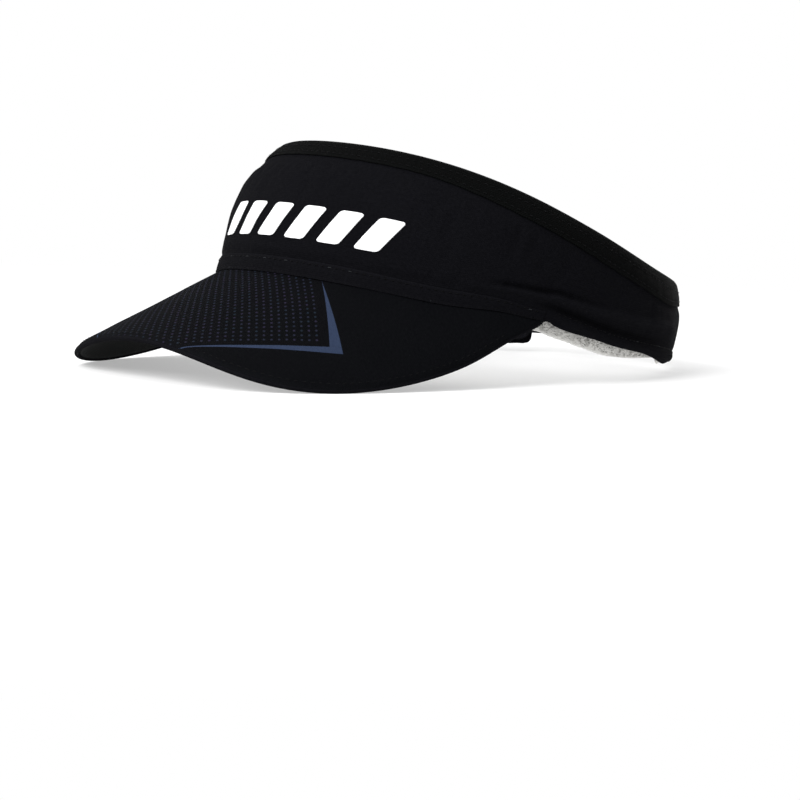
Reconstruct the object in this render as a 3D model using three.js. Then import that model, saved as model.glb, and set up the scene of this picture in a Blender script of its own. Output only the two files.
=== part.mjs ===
// Sports sun visor: a leaning fabric band round the head, a curved brim sewn to its lower front edge,
// a terry sweatband inside, and a hook-and-loop strap that closes the band at the back.
//
// Frame: millimetres, +Z up, -Y forward over the face, +X to the wearer's left. The visor stands on the
// lowest points of its brim and on its rear hem at z = 0, and y = 0 is the middle of its whole length.
// Round the head, "turn" is an angle in degrees from straight ahead, growing towards the wearer's left.
import * as THREE from "three";

// ---- Driving dimensions (millimetres, degrees) ----

const lengthShift = 27.22; // from the middle of the head opening to the middle of the whole visor

const hem = { halfWidth: 83.4, halfLength: 98.1, frontTaper: 0.03 };
const crest = { halfWidth: 76.3, halfLength: 83.6, setBack: 17.3, frontTaper: 0.05 };
const crestHeight = [60.05, 29.95, 3.65, -2.65]; // mean, then how it varies with 1, 2 and 3 times the turn
const bandBulge = { front: 7, side: 3.5, upward: 0.7, frontTurn: 50, sideTurn: 95 };

const rearArc = { centreY: 20.9, hemRadius: 77.2, crestRadius: 80, height: 35, bulge: 2.8 };
const rearArcTurns = { blendFrom: 98, round: 130 };
const flatHemTurns = { blendFrom: 122, flat: 144 };
const bandEndTurn = 150;

const brim = {
  frontHeight: 40.4,
  pitch: 22,
  rootRadius: 101.5,
  radiusGrowth: 0.103,
  reach: 156.9,
  cornerTurn: 78.5,
  squareness: 0.098,
  pointedness: -0.361,
  rootTurn: 72,
  outerSweep: 86,
  rootTuck: 2.4,
};
const brimLayers = { topCover: [0, 0.6], core: [0.85, 2.05], underCover: [2.3, 2.8] };
const cornerLift = { height: 1.93, x: 76, y: -38.9, spread: 16 };
const pipingRadius = 1.5;
const hemSlopeBehindBrim = -62.7;

const panelThickness = 0.8;
const foamLayer = { from: 1.2, to: 3.2, edgeTurn: 75 };
const liningLayer = { from: 2.6, to: 3.2, frontExtra: 1.0, bottom: 5 };
const sweatLayer = { from: 3.7, to: 5.9, endTurn: 134, frontRise: 28, rearRise: 21, drop: 3 };
const foamSideTurns = { full: 76, none: 92 };

const tape = { thickness: 0.6, lift: 0.15 };
const bindingWidth = { ends: 9.5, sides: 12.9, widens: [34, 68], narrows: [112, 138] };
const bindingClearance = 0.4;
const seamTapeWidth = 6.5;
const seamGap = 0.25;

const threadRadius = 0.3;
const threadLift = 0.2;
const terryThreadLift = 0.5;

const strap = { low: 8.5, high: 28.5, thickness: 0.9 };
const overStrapDepth = 1.2;
const hookDepth = { from: 2.4, to: 3.0 };
const loopDepth = { from: 3.3, to: 4.0 };
const underStrapDepth = { sewn: 1.2, exposed: 4.3 };
const underStrapTurns = { start: 138, mouth: 150.6, settled: 157, end: 203 };
const loopTurns = { start: 159, end: 200 };
const overStrapTurns = { pocketEnd: 221, peel: 198, tip: 163 };
const peelGapTurn = 0.25;
const hookTurns = { start: 168, end: 194 };

const emblem = { bars: 6, firstTurn: -24, lastTurn: 38, low: 0.27, high: 0.52, slant: 4.5, fill: 0.62 };

const turnStep = 5;

// ---- Small helpers ----

const sine = (degrees) => Math.sin(THREE.MathUtils.degToRad(degrees));
const cosine = (degrees) => Math.cos(THREE.MathUtils.degToRad(degrees));
const blend = (from, to, share) => from + (to - from) * share;
const smooth = (value, from, to) => THREE.MathUtils.smoothstep(value, from, to);

// The angle away from straight ahead, on either side: 0 in front, 180 at the back.
function awayFromFront(turn) {
  const wrapped = THREE.MathUtils.euclideanModulo(turn + 180, 360) - 180;
  return Math.abs(wrapped);
}

function evenly(from, to, count) {
  return Array.from({ length: count + 1 }, (_, i) => blend(from, to, i / count));
}

function turnsBetween(from, to, step = turnStep) {
  return evenly(from, to, Math.max(1, Math.ceil(Math.abs(to - from) / step)));
}

// ---- The brim's surface: a leaning sheet rolled about a fore-and-aft axis, flatter towards its tip ----

function brimTopHeight(x, y) {
  const ahead = y + hem.halfLength;
  const radius = brim.rootRadius * (1 - (brim.radiusGrowth * ahead) / 100);
  const sag = radius - Math.sqrt(radius * radius - x * x);
  const fromCorner = Math.hypot(Math.abs(x) - cornerLift.x, y - cornerLift.y) / cornerLift.spread;
  const lift = cornerLift.height * Math.exp(-(fromCorner ** 2));
  return brim.frontHeight + Math.tan(THREE.MathUtils.degToRad(brim.pitch)) * ahead - sag + lift;
}

function brimPoint(x, y, depth) {
  const step = 0.01;
  const height = brimTopHeight(x, y);
  const slopeX = (brimTopHeight(x + step, y) - height) / step;
  const slopeY = (brimTopHeight(x, y + step) - height) / step;
  const normal = new THREE.Vector3(-slopeX, -slopeY, 1).normalize();
  return new THREE.Vector3(x, y, height).addScaledVector(normal, -depth);
}

// ---- The band's outer surface ----

function ovalPoint(oval, turn) {
  const x = oval.halfWidth * sine(turn) * (1 - oval.frontTaper * cosine(turn));
  return new THREE.Vector2(x, (oval.setBack ?? 0) - oval.halfLength * cosine(turn));
}

const brimCorner = ovalPoint(hem, brim.cornerTurn);

function hemHeight(turn) {
  const away = awayFromFront(turn);
  const plan = ovalPoint(hem, turn);
  if (away <= brim.cornerTurn) return brimTopHeight(plan.x, plan.y);
  const cornerHeight = brimTopHeight(brimCorner.x, brimCorner.y);
  const share = (away - brim.cornerTurn) / (180 - brim.cornerTurn);
  const fall = (2 * share ** 3 - 3 * share ** 2 + 1) * cornerHeight;
  const easing = (share ** 3 - 2 * share ** 2 + share) * hemSlopeBehindBrim;
  const flatness = smooth(away, flatHemTurns.blendFrom, flatHemTurns.flat);
  return (fall + easing) * (1 - flatness);
}

function crestHeightAt(turn) {
  return crestHeight.reduce((sum, height, order) => sum + height * cosine(order * turn), 0);
}

// Near the back the band is a true surface of revolution, so that the strap can slide round inside it.
function rearRadius(height) {
  const share = height / rearArc.height;
  const chord = blend(rearArc.hemRadius, rearArc.crestRadius, share);
  return chord + rearArc.bulge * 4 * share * (1 - share);
}

function rearPoint(turn, height) {
  const radius = rearRadius(height);
  return new THREE.Vector2(radius * sine(turn), rearArc.centreY - radius * cosine(turn));
}

// share runs from 0 at the hem to 1 at the crest.
function bandSurface(turn, share) {
  const height = blend(hemHeight(turn), crestHeightAt(turn), share);
  const side = ovalPoint(hem, turn).lerp(ovalPoint(crest, turn), share);
  const sideways = smooth(awayFromFront(turn), bandBulge.frontTurn, bandBulge.sideTurn);
  const depth = blend(bandBulge.front, bandBulge.side, sideways);
  const swell = depth * 4 * share * (1 - share) * (1 + bandBulge.upward * (2 * share - 1));
  side.add(new THREE.Vector2(sine(turn), -cosine(turn)).multiplyScalar(swell));
  const roundness = smooth(awayFromFront(turn), rearArcTurns.blendFrom, rearArcTurns.round);
  const plan = side.lerp(rearPoint(turn, height), roundness);
  return new THREE.Vector3(plan.x, plan.y, height);
}

function bandPoint(turn, share, depth) {
  const step = 0.01;
  const point = bandSurface(turn, share);
  const along = bandSurface(turn + step, share).sub(point);
  const upward = bandSurface(turn, share + step).sub(point);
  const normal = new THREE.Vector3().crossVectors(along, upward).normalize();
  return point.addScaledVector(normal, -depth);
}

// The share of the band's height that lies a distance in millimetres above the hem, or below the crest.
// A distance past either edge carries on straight.
function shareAlong(turn, startShare, distance) {
  const towards = startShare === 0 ? 1 : -1;
  const start = bandSurface(turn, startShare);
  if (distance < 0) {
    const step = 0.01;
    const pace = bandSurface(turn, startShare + towards * step).distanceTo(start) / step;
    return startShare + (towards * distance) / pace;
  }
  let near = 0;
  let far = 1;
  for (let pass = 0; pass < 24; pass += 1) {
    const middle = (near + far) / 2;
    if (bandSurface(turn, startShare + towards * middle).distanceTo(start) < distance) near = middle;
    else far = middle;
  }
  return startShare + towards * far;
}

const aboveHem = (turn, distance) => shareAlong(turn, 0, distance);
const belowCrest = (turn, distance) => shareAlong(turn, 1, distance);

// The share at which a layer's lower edge clears the brim in front, or meets the hem's height behind it.
function lowerEdgeShare(turn, depth) {
  const overBrim = 1 - smooth(awayFromFront(turn), brim.cornerTurn - 1, brim.cornerTurn + 5);
  let low = -0.3;
  let high = 0.4;
  for (let pass = 0; pass < 30; pass += 1) {
    const middle = (low + high) / 2;
    const point = bandPoint(turn, middle, depth);
    const floor = blend(hemHeight(turn), brimTopHeight(point.x, point.y) + seamGap, overBrim);
    if (point.z < floor) low = middle;
    else high = middle;
  }
  return high;
}

// The radius round the rear arc's axis at a height, as a point on the sliding strap.
function strapPoint(turn, height, depth) {
  const step = 0.01;
  const radius = rearRadius(height);
  const slope = (rearRadius(height + step) - radius) / step;
  const inward = new THREE.Vector2(-1, slope).normalize().multiplyScalar(depth);
  const reach = radius + inward.x;
  return new THREE.Vector3(reach * sine(turn), rearArc.centreY - reach * cosine(turn), height + inward.y);
}

// ---- Geometry builders ----

// A closed sheet between two grids of points, [station][row], that face each other.
function closedSheet(outerGrid, innerGrid) {
  const rows = outerGrid[0].length;
  const stations = outerGrid.length;
  const points = [...outerGrid.flat(), ...innerGrid.flat()];
  const outer = (i, k) => i * rows + k;
  const inner = (i, k) => stations * rows + i * rows + k;
  const index = [];
  const quad = (a, b, c, d) => index.push(a, b, c, a, c, d);
  for (let i = 0; i < stations - 1; i += 1) {
    for (let k = 0; k < rows - 1; k += 1) {
      quad(outer(i, k), outer(i + 1, k), outer(i + 1, k + 1), outer(i, k + 1));
      quad(inner(i, k), inner(i, k + 1), inner(i + 1, k + 1), inner(i + 1, k));
    }
    quad(outer(i, 0), inner(i, 0), inner(i + 1, 0), outer(i + 1, 0));
    quad(outer(i, rows - 1), outer(i + 1, rows - 1), inner(i + 1, rows - 1), inner(i, rows - 1));
  }
  for (let k = 0; k < rows - 1; k += 1) {
    quad(outer(0, k), outer(0, k + 1), inner(0, k + 1), inner(0, k));
    const end = stations - 1;
    quad(outer(end, k), inner(end, k), inner(end, k + 1), outer(end, k + 1));
  }
  return solidFacingOut(points, index);
}

function solidFacingOut(points, index) {
  let volume = 0;
  const crossed = new THREE.Vector3();
  for (let i = 0; i < index.length; i += 3) {
    const [a, b, c] = [points[index[i]], points[index[i + 1]], points[index[i + 2]]];
    volume += a.dot(crossed.crossVectors(b, c));
  }
  if (volume < 0) index.reverse();
  const geometry = new THREE.BufferGeometry().setFromPoints(points);
  geometry.setIndex(index);
  geometry.computeVertexNormals();
  return geometry;
}

// A sheet that follows the band, between two depths, over rows given as shares of the band's height.
function bandSheet(turns, rowsAt, outerDepthAt, innerDepthAt) {
  const grid = (depthAt) =>
    turns.map((turn) => rowsAt(turn, depthAt(turn)).map((share) => bandPoint(turn, share, depthAt(turn))));
  return closedSheet(grid(outerDepthAt), grid(innerDepthAt));
}

function strapSheet(turns, outerDepthAt, innerDepthAt, low = strap.low, high = strap.high) {
  const heights = evenly(low, high, 3);
  const grid = (depthAt) =>
    turns.map((turn) => heights.map((height) => strapPoint(turn, height, depthAt(turn))));
  return closedSheet(grid(outerDepthAt), grid(innerDepthAt));
}

function tube(points, radius, steps, sides) {
  const outline = new THREE.Shape(
    evenly(0, 360, sides)
      .slice(0, -1)
      .map((angle) => new THREE.Vector2(radius * cosine(angle), radius * sine(angle))),
  );
  const extrudePath = new THREE.CatmullRomCurve3(points);
  return new THREE.ExtrudeGeometry(outline, { steps, extrudePath, bevelEnabled: false });
}

function thread(points, steps) {
  return tube(points, threadRadius, steps, 4);
}

// ---- Materials ----

function fabric(colour, roughness = 0.9) {
  return new THREE.MeshStandardMaterial({ color: colour, roughness, metalness: 0 });
}

const materials = {
  knit: fabric(0x0e0f14),
  tape: fabric(0x0d1010, 0.85),
  thread: fabric(0x17181b, 0.6),
  lining: fabric(0x141519),
  foam: fabric(0x3a3a3c, 0.95),
  terry: fabric(0xd9d8d4, 1),
  board: fabric(0x2b2b2e, 0.6),
  webbing: fabric(0x111214),
  loops: fabric(0x16171a, 1),
  hooks: fabric(0x1b1c20, 0.5),
  label: fabric(0xe8e8e6, 0.7),
  film: fabric(0xf2f2f0, 0.5),
};

const visor = new THREE.Group();

function addPiece(name, geometry, material) {
  const piece = new THREE.Mesh(geometry, material);
  piece.name = name;
  piece.position.y = lengthShift;
  visor.add(piece);
}

// ---- The band: outer panel, foam, lining, bindings ----

const bandTurns = turnsBetween(-bandEndTurn, bandEndTurn);
const frontShare = (turn) => 1 - smooth(awayFromFront(turn), foamSideTurns.full, foamSideTurns.none);
const liningOuter = (turn) => liningLayer.from + liningLayer.frontExtra * frontShare(turn);
const liningInner = (turn) => liningLayer.to + liningLayer.frontExtra * frontShare(turn);

// How far the binding reaches down: further at the sides than at the front and at the band's ends.
function bindingReach(turn) {
  const away = awayFromFront(turn);
  const widened = smooth(away, ...bindingWidth.widens);
  const narrowed = smooth(away, ...bindingWidth.narrows);
  return blend(bindingWidth.ends, bindingWidth.sides, widened * (1 - narrowed));
}

// Rows from the seam tape's top to the binding's lower edge.
function middleRows(turn) {
  return evenly(aboveHem(turn, seamTapeWidth), belowCrest(turn, bindingReach(turn)), 4);
}

const fullRows = (turn, bottomShare) => [bottomShare, ...middleRows(turn), 1];

function crownPanel() {
  const rows = (turn, depth) => fullRows(turn, lowerEdgeShare(turn, depth));
  return bandSheet(bandTurns, rows, () => 0, () => panelThickness);
}

function crownLining() {
  const rows = (turn) => fullRows(turn, aboveHem(turn, liningLayer.bottom));
  return bandSheet(bandTurns, rows, liningOuter, liningInner);
}

function crownFoam() {
  const turns = bandTurns.filter((turn) => Math.abs(turn) <= foamLayer.edgeTurn);
  return bandSheet(turns, middleRows, () => foamLayer.from, () => foamLayer.to);
}

// One tape folded over the crest: down the outside, and down the inside over the lining.
function topBinding() {
  const foldedPath = (turn, outside, inside, overhang) => {
    const foot = belowCrest(turn, bindingReach(turn));
    const top = belowCrest(turn, -overhang);
    return [
      bandPoint(turn, foot, outside),
      bandPoint(turn, 1, outside),
      bandPoint(turn, top, blend(outside, inside, 0.2)),
      bandPoint(turn, top, blend(outside, inside, 0.8)),
      bandPoint(turn, 1, inside),
      bandPoint(turn, foot, inside),
    ];
  };
  const near = { outside: -tape.lift, over: bindingClearance };
  const outerPath = (turn) =>
    foldedPath(
      turn,
      near.outside - tape.thickness,
      liningInner(turn) + bindingClearance + tape.thickness,
      near.over + tape.thickness,
    );
  const innerPath = (turn) =>
    foldedPath(turn, near.outside, liningInner(turn) + bindingClearance, near.over);
  return closedSheet(bandTurns.map(outerPath), bandTurns.map(innerPath));
}

const seamTapeEnd = brim.cornerTurn - 1;
const seamTapeTurns = [
  -seamTapeEnd,
  ...bandTurns.filter((turn) => Math.abs(turn) < seamTapeEnd - 1),
  seamTapeEnd,
];

function seamTape() {
  const rows = (turn, depth) => [lowerEdgeShare(turn, depth), aboveHem(turn, seamTapeWidth)];
  return bandSheet(seamTapeTurns, rows, () => -tape.lift - tape.thickness, () => -tape.lift);
}

const overFabric = -(threadLift + threadRadius);
const overTape = overFabric - tape.lift - tape.thickness;

function crestThread(dropAt) {
  const turns = turnsBetween(-bandEndTurn + 1, bandEndTurn - 1, 4);
  const points = turns.map((turn) => bandPoint(turn, belowCrest(turn, dropAt(turn)), overTape));
  return thread(points, 64);
}

const upperRowDrop = (turn) => 0.47 * bindingReach(turn);
const lowerRowDrop = (turn) => bindingReach(turn) - 1.5;

function seamThread(rise) {
  const points = seamTapeTurns.map((turn) => bandPoint(turn, aboveHem(turn, rise), overTape));
  return thread(points, 34);
}

function hemThread(side) {
  const turns = turnsBetween(brim.cornerTurn + 4, bandEndTurn - 1);
  const rise = 4.7;
  const points = turns.map((turn) => bandPoint(side * turn, aboveHem(side * turn, rise), overFabric));
  return thread(points, 16);
}

// ---- The inside: sweatband and label ----

const sweatOuter = (turn) => sweatLayer.from + liningLayer.frontExtra * frontShare(turn);
const sweatInner = (turn) => sweatLayer.to + liningLayer.frontExtra * frontShare(turn);

function sweatRise(turn) {
  return blend(sweatLayer.frontRise, sweatLayer.rearRise, smooth(awayFromFront(turn), 60, 125));
}

// The terry hangs a little below the hem beside the brim's corners, and is level with it at the back.
function sweatDrop(turn) {
  return sweatLayer.drop * (1 - smooth(awayFromFront(turn), 100, 128)) - 1;
}

function sweatband() {
  const turns = turnsBetween(-sweatLayer.endTurn, sweatLayer.endTurn);
  const rows = (turn) => evenly(aboveHem(turn, -sweatDrop(turn)), aboveHem(turn, sweatRise(turn)), 3);
  return bandSheet(turns, rows, sweatOuter, sweatInner);
}

function sweatbandThread() {
  const turns = turnsBetween(-sweatLayer.endTurn + 1, sweatLayer.endTurn - 1);
  const edgeMargin = 3;
  const points = turns.map((turn) => {
    const share = aboveHem(turn, sweatRise(turn) - edgeMargin);
    return bandPoint(turn, share, sweatInner(turn) + terryThreadLift + threadRadius);
  });
  return thread(points, 56);
}

function careLabel() {
  const turns = turnsBetween(99, 111, 4);
  const rows = (turn) => evenly(aboveHem(turn, 4), aboveHem(turn, 17), 1);
  const depth = sweatLayer.to + threadLift;
  return bandSheet(turns, rows, () => depth + 0.25, () => depth + 0.75);
}

// ---- The brim ----

// The brim's outer outline in plan, from its right corner at -90 to its left corner at 90.
function brimOutline(sweep) {
  const x = brimCorner.x * (sine(sweep) + brim.squareness * sine(2 * sweep));
  const curve = (1 - brim.pointedness) * cosine(sweep) + brim.pointedness * cosine(sweep) ** 3;
  return new THREE.Vector2(x, brimCorner.y - (brim.reach + brimCorner.y) * curve);
}

// A point of the outline moved inward by a distance along the brim's curved surface.
function brimOutlineInset(sweep, inset) {
  const step = 0.05;
  const point = brimOutline(sweep);
  const along = brimOutline(sweep + step).sub(brimOutline(sweep - step)).normalize();
  const inward = new THREE.Vector2(-along.y, along.x);
  const beside = point.clone().addScaledVector(inward, step);
  const slope = (brimTopHeight(beside.x, beside.y) - brimTopHeight(point.x, point.y)) / step;
  return point.addScaledVector(inward, inset / Math.hypot(1, slope));
}

// share runs from -1 at the brim's right corner to 1 at its left corner.
function brimRoot(share) {
  const turn = share * brim.rootTurn;
  const point = ovalPoint(hem, turn);
  const tuck = brim.rootTuck * (1 - Math.abs(share) ** 3);
  const length = point.length();
  return point.multiplyScalar((length - tuck) / length);
}

function brimLayer([top, bottom]) {
  const layerInset = 2 * pipingRadius + 0.3;
  const shares = evenly(-1, 1, 32);
  const ribs = evenly(0, 1, 5);
  const grid = (depth) =>
    shares.map((share) => {
      const root = brimRoot(share);
      const edge = brimOutlineInset(share * brim.outerSweep, layerInset);
      return ribs.map((rib) => {
        const plan = root.clone().lerp(edge, rib);
        return brimPoint(plan.x, plan.y, depth);
      });
    });
  return closedSheet(grid(top), grid(bottom));
}

function brimPiping() {
  const middleDepth = brimLayers.underCover[1] / 2;
  const points = evenly(-89, 89, 44).map((sweep) => {
    const plan = brimOutlineInset(sweep, pipingRadius);
    return brimPoint(plan.x, plan.y, middleDepth);
  });
  return tube(points, pipingRadius, 60, 8);
}

function brimEdgeThread() {
  const inset = 4.2;
  const points = evenly(-84, 84, 42).map((sweep) => {
    const plan = brimOutlineInset(sweep, inset);
    return brimPoint(plan.x, plan.y, overFabric);
  });
  return thread(points, 56);
}

// ---- The rear closure ----

function underStrapOuter(turn) {
  const share = smooth(turn, underStrapTurns.mouth, underStrapTurns.settled);
  return blend(underStrapDepth.sewn, underStrapDepth.exposed, share);
}

function underStrap() {
  const { start, mouth, settled, end } = underStrapTurns;
  const turns = [
    ...turnsBetween(start, mouth),
    ...turnsBetween(mouth, settled, 2).slice(1),
    ...turnsBetween(settled, end).slice(1),
  ];
  return strapSheet(turns, underStrapOuter, (turn) => underStrapOuter(turn) + strap.thickness);
}

function loopPatch() {
  const turns = turnsBetween(loopTurns.start, loopTurns.end);
  return strapSheet(turns, () => loopDepth.from, () => loopDepth.to, strap.low + 1, strap.high - 1);
}

function overStrap(from, to) {
  return strapSheet(turnsBetween(from, to), () => overStrapDepth, () => overStrapDepth + strap.thickness);
}

function hookPatch() {
  const turns = turnsBetween(hookTurns.start, hookTurns.end);
  return strapSheet(turns, () => hookDepth.from, () => hookDepth.to, strap.low + 1, strap.high - 1);
}

// Three sides of a box of stitching, open towards its first turn, on a surface given by its own function.
function boxStitch(surfacePoint, openTurn, farTurn, low, high) {
  const corner = 0.18;
  const inTurns = (share) => blend(openTurn, farTurn, share);
  const points = [
    ...evenly(0, 1 - corner, 3).map((share) => surfacePoint(inTurns(share), low)),
    ...evenly(low + 1.5, high - 1.5, 3).map((height) => surfacePoint(farTurn, height)),
    ...evenly(1 - corner, 0, 3).map((share) => surfacePoint(inTurns(share), high)),
  ];
  return thread(points, 30);
}

const onPanel = (turn, height) => strapPoint(turn, height, overFabric);
const onOverStrap = (turn, height) => strapPoint(turn, height, overStrapDepth + overFabric);

// ---- The transfer emblem: slanted bars across the front ----

function emblemBar(number) {
  const pitch = (emblem.lastTurn - emblem.firstTurn) / emblem.bars;
  const start = emblem.firstTurn + number * pitch;
  const turns = turnsBetween(start, start + pitch * emblem.fill, 3);
  const grid = (depth) =>
    turns.map((turn) =>
      evenly(emblem.low, emblem.high, 2).map((share) => {
        const lean = (emblem.slant * (share - emblem.low)) / (emblem.high - emblem.low);
        return bandPoint(turn + lean, share, depth);
      }),
    );
  return closedSheet(grid(-0.65), grid(-0.3));
}

// ---- Assembly ----

addPiece("crown_panel", crownPanel(), materials.knit);
addPiece("crown_foam", crownFoam(), materials.foam);
addPiece("crown_lining", crownLining(), materials.lining);
addPiece("top_binding", topBinding(), materials.tape);
addPiece("top_binding_thread_upper", crestThread(upperRowDrop), materials.thread);
addPiece("top_binding_thread_lower", crestThread(lowerRowDrop), materials.thread);
addPiece("seam_tape", seamTape(), materials.tape);
addPiece("seam_tape_thread_upper", seamThread(5.4), materials.thread);
addPiece("seam_tape_thread_lower", seamThread(1.8), materials.thread);
addPiece("hem_thread_left", hemThread(1), materials.thread);
addPiece("hem_thread_right", hemThread(-1), materials.thread);
addPiece("sweatband", sweatband(), materials.terry);
addPiece("sweatband_thread", sweatbandThread(), materials.thread);
addPiece("care_label", careLabel(), materials.label);

addPiece("brim_core", brimLayer(brimLayers.core), materials.board);
addPiece("brim_top_cover", brimLayer(brimLayers.topCover), materials.knit);
addPiece("brim_under_cover", brimLayer(brimLayers.underCover), materials.tape);
addPiece("brim_edge_piping", brimPiping(), materials.tape);
addPiece("brim_edge_thread", brimEdgeThread(), materials.thread);

addPiece("under_strap", underStrap(), materials.webbing);
addPiece("loop_patch", loopPatch(), materials.loops);
addPiece("under_strap_thread", boxStitch(onPanel, 139.5, 147, 10, 22), materials.thread);
addPiece("over_strap_root", overStrap(overStrapTurns.peel, overStrapTurns.pocketEnd), materials.webbing);
addPiece("over_strap_tail", overStrap(overStrapTurns.tip, overStrapTurns.peel - peelGapTurn), materials.webbing);
addPiece("hook_patch", hookPatch(), materials.hooks);
addPiece("hook_patch_thread", boxStitch(onOverStrap, 192, 170, 11, 26), materials.thread);
addPiece("pocket_thread", boxStitch(onPanel, 211.5, 216, 9, 23), materials.thread);

for (let number = 0; number < emblem.bars; number += 1) {
  addPiece(`emblem_bar_${number + 1}`, emblemBar(number), materials.film);
}

export default visor;
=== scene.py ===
import bmesh
import bpy
import numpy as np
from mathutils import Matrix, Vector


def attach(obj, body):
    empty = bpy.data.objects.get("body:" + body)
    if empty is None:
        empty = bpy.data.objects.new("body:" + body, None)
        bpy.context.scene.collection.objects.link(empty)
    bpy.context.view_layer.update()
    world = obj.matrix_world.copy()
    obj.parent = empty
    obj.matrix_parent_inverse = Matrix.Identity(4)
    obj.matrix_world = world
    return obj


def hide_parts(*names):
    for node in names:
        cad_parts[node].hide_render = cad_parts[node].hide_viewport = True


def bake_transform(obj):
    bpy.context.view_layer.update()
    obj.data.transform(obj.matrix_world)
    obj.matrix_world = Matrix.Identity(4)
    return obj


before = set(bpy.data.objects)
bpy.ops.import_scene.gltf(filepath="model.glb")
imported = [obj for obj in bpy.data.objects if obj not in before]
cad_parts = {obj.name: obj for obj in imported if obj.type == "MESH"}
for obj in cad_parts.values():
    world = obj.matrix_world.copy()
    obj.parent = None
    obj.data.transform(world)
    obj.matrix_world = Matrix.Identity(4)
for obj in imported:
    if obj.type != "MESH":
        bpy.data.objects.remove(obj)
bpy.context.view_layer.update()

MM = 0.001

# ---- The frame's own sizes, the same as the CAD part is driven by ----

LENGTH_SHIFT = 27.22
HEM = {"half_width": 83.4, "half_length": 98.1, "back": 0.0, "taper": 0.03}
CREST = {"half_width": 76.3, "half_length": 83.6, "back": 17.3, "taper": 0.05}
CREST_HEIGHT = (60.05, 29.95, 3.65, -2.65)
BULGE = {"front": 7, "side": 3.5, "upward": 0.7, "front_turn": 50, "side_turn": 95}
REAR = {"centre": 20.9, "hem": 77.2, "crest": 80, "height": 35, "bulge": 2.8, "from": 98, "round": 130}
FLAT_HEM = (122, 144)
BAND_END = 150

BRIM_FRONT_HEIGHT = 40.4
BRIM_PITCH = 22
BRIM_RADIUS = 101.5
BRIM_RADIUS_GROWTH = 0.103
BRIM_REACH = 156.9
CORNER_TURN = 78.5
BRIM_SQUARENESS = 0.098
BRIM_POINTEDNESS = -0.361
BRIM_ROOT_TURN = 72
BRIM_OUTER_SWEEP = 86
BRIM_COVER_ROOT_TURN = 78.3
BRIM_COVER_SWEEP = 89.7
BRIM_ROOT_TUCK = 2.4
CORNER_LIFT = {"height": 1.93, "x": 76, "y": -38.9, "spread": 16}
HEM_SLOPE_BEHIND_BRIM = -62.7

PANEL_THICKNESS = 0.8
FOAM = (1.2, 3.2)
LINING = (2.6, 3.2)
LINING_FRONT_EXTRA = 1.0
SWEATBAND = (3.7, 5.9)
SWEATBAND_END = 134
FOAM_SIDE_TURNS = (76, 92)
BINDING_WIDTH = {"ends": 9.5, "sides": 12.9, "widens": (34, 68), "narrows": (112, 138)}
SEAM_TAPE_WIDTH = 6.5
TAPE_THICKNESS = 0.6
TAPE_LIFT = 0.15
SEAM_GAP = 0.25
BRIM_TOP = (0.0, 0.6)
BRIM_CORE = (0.85, 2.05)
BRIM_UNDER = (2.3, 2.8)

STRAP_LOW, STRAP_HIGH, STRAP_THICKNESS = 8.5, 28.5, 0.9
OVER_STRAP_DEPTH = 1.2
OVER_STRAP_TURNS = (163, 221)
PEEL_TURN = 198
UNDER_STRAP_TURNS = (138, 150.6, 157, 203)
UNDER_STRAP_DEPTHS = (1.2, 4.3)
HOOKS = {"depth": (2.4, 3.0), "turns": (168, 194)}
LOOPS = {"depth": (3.3, 4.0), "turns": (159, 200)}

EMBLEM = {"bars": 6, "first": -24, "last": 38, "low": 0.27, "high": 0.52, "slant": 4.5, "fill": 0.62}

HEM_STITCH_RISE = 4.7
HEM_FOLD_RISE = (5.1, 5.7)

rng = np.random.default_rng(7)


# ---- Small helpers ----

def sine(degrees):
    return np.sin(np.radians(degrees))


def cosine(degrees):
    return np.cos(np.radians(degrees))


def mix(a, b, share):
    return a + (b - a) * share


def smooth(value, low, high):
    share = np.clip((np.asarray(value, float) - low) / (high - low), 0, 1)
    return share * share * (3 - 2 * share)


def unit(vectors):
    return vectors / np.linalg.norm(vectors, axis=-1, keepdims=True)


def away(turn):
    return np.abs((np.asarray(turn, float) + 180) % 360 - 180)


def waves(place, period, seed):
    """A gentle uneven ripple between about -1 and 1, the same on every run."""
    phase = np.random.default_rng(seed).uniform(0, 2 * np.pi, 4)
    sizes, stretches = (0.45, 0.3, 0.2, 0.12), (1, 0.618, 0.41, 0.271)
    parts = zip(sizes, stretches, phase)
    return sum(size * np.sin(2 * np.pi * place / (period * stretch) + start) for size, stretch, start in parts)


# ---- The brim's surface ----

def brim_height(x, y):
    ahead = y + HEM["half_length"]
    radius = BRIM_RADIUS * (1 - BRIM_RADIUS_GROWTH * ahead / 100)
    sag = radius - np.sqrt(np.maximum(radius**2 - x**2, 0))
    distance = np.hypot(np.abs(x) - CORNER_LIFT["x"], y - CORNER_LIFT["y"]) / CORNER_LIFT["spread"]
    lift = CORNER_LIFT["height"] * np.exp(-(distance**2))
    return BRIM_FRONT_HEIGHT + np.tan(np.radians(BRIM_PITCH)) * ahead - sag + lift


def brim_normal(x, y, step=0.01):
    height = brim_height(x, y)
    slope_x = (brim_height(x + step, y) - height) / step
    slope_y = (brim_height(x, y + step) - height) / step
    return unit(np.stack([-slope_x, -slope_y, np.ones_like(slope_x)], -1))


def brim_point(x, y, depth):
    x, y, depth = np.broadcast_arrays(np.asarray(x, float), np.asarray(y, float), depth)
    return np.stack([x, y, brim_height(x, y)], -1) - brim_normal(x, y) * depth[..., None]


def brim_flat(x, y):
    """Where a point of the brim lies once the brim is rolled out flat: across, and back from the root."""
    radius = BRIM_RADIUS * (1 - BRIM_RADIUS_GROWTH * (y + HEM["half_length"]) / 100)
    across = radius * np.arcsin(np.clip(x / radius, -1, 1))
    return across, (y + HEM["half_length"]) / np.cos(np.radians(BRIM_PITCH))


# ---- The band's outer surface ----

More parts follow.
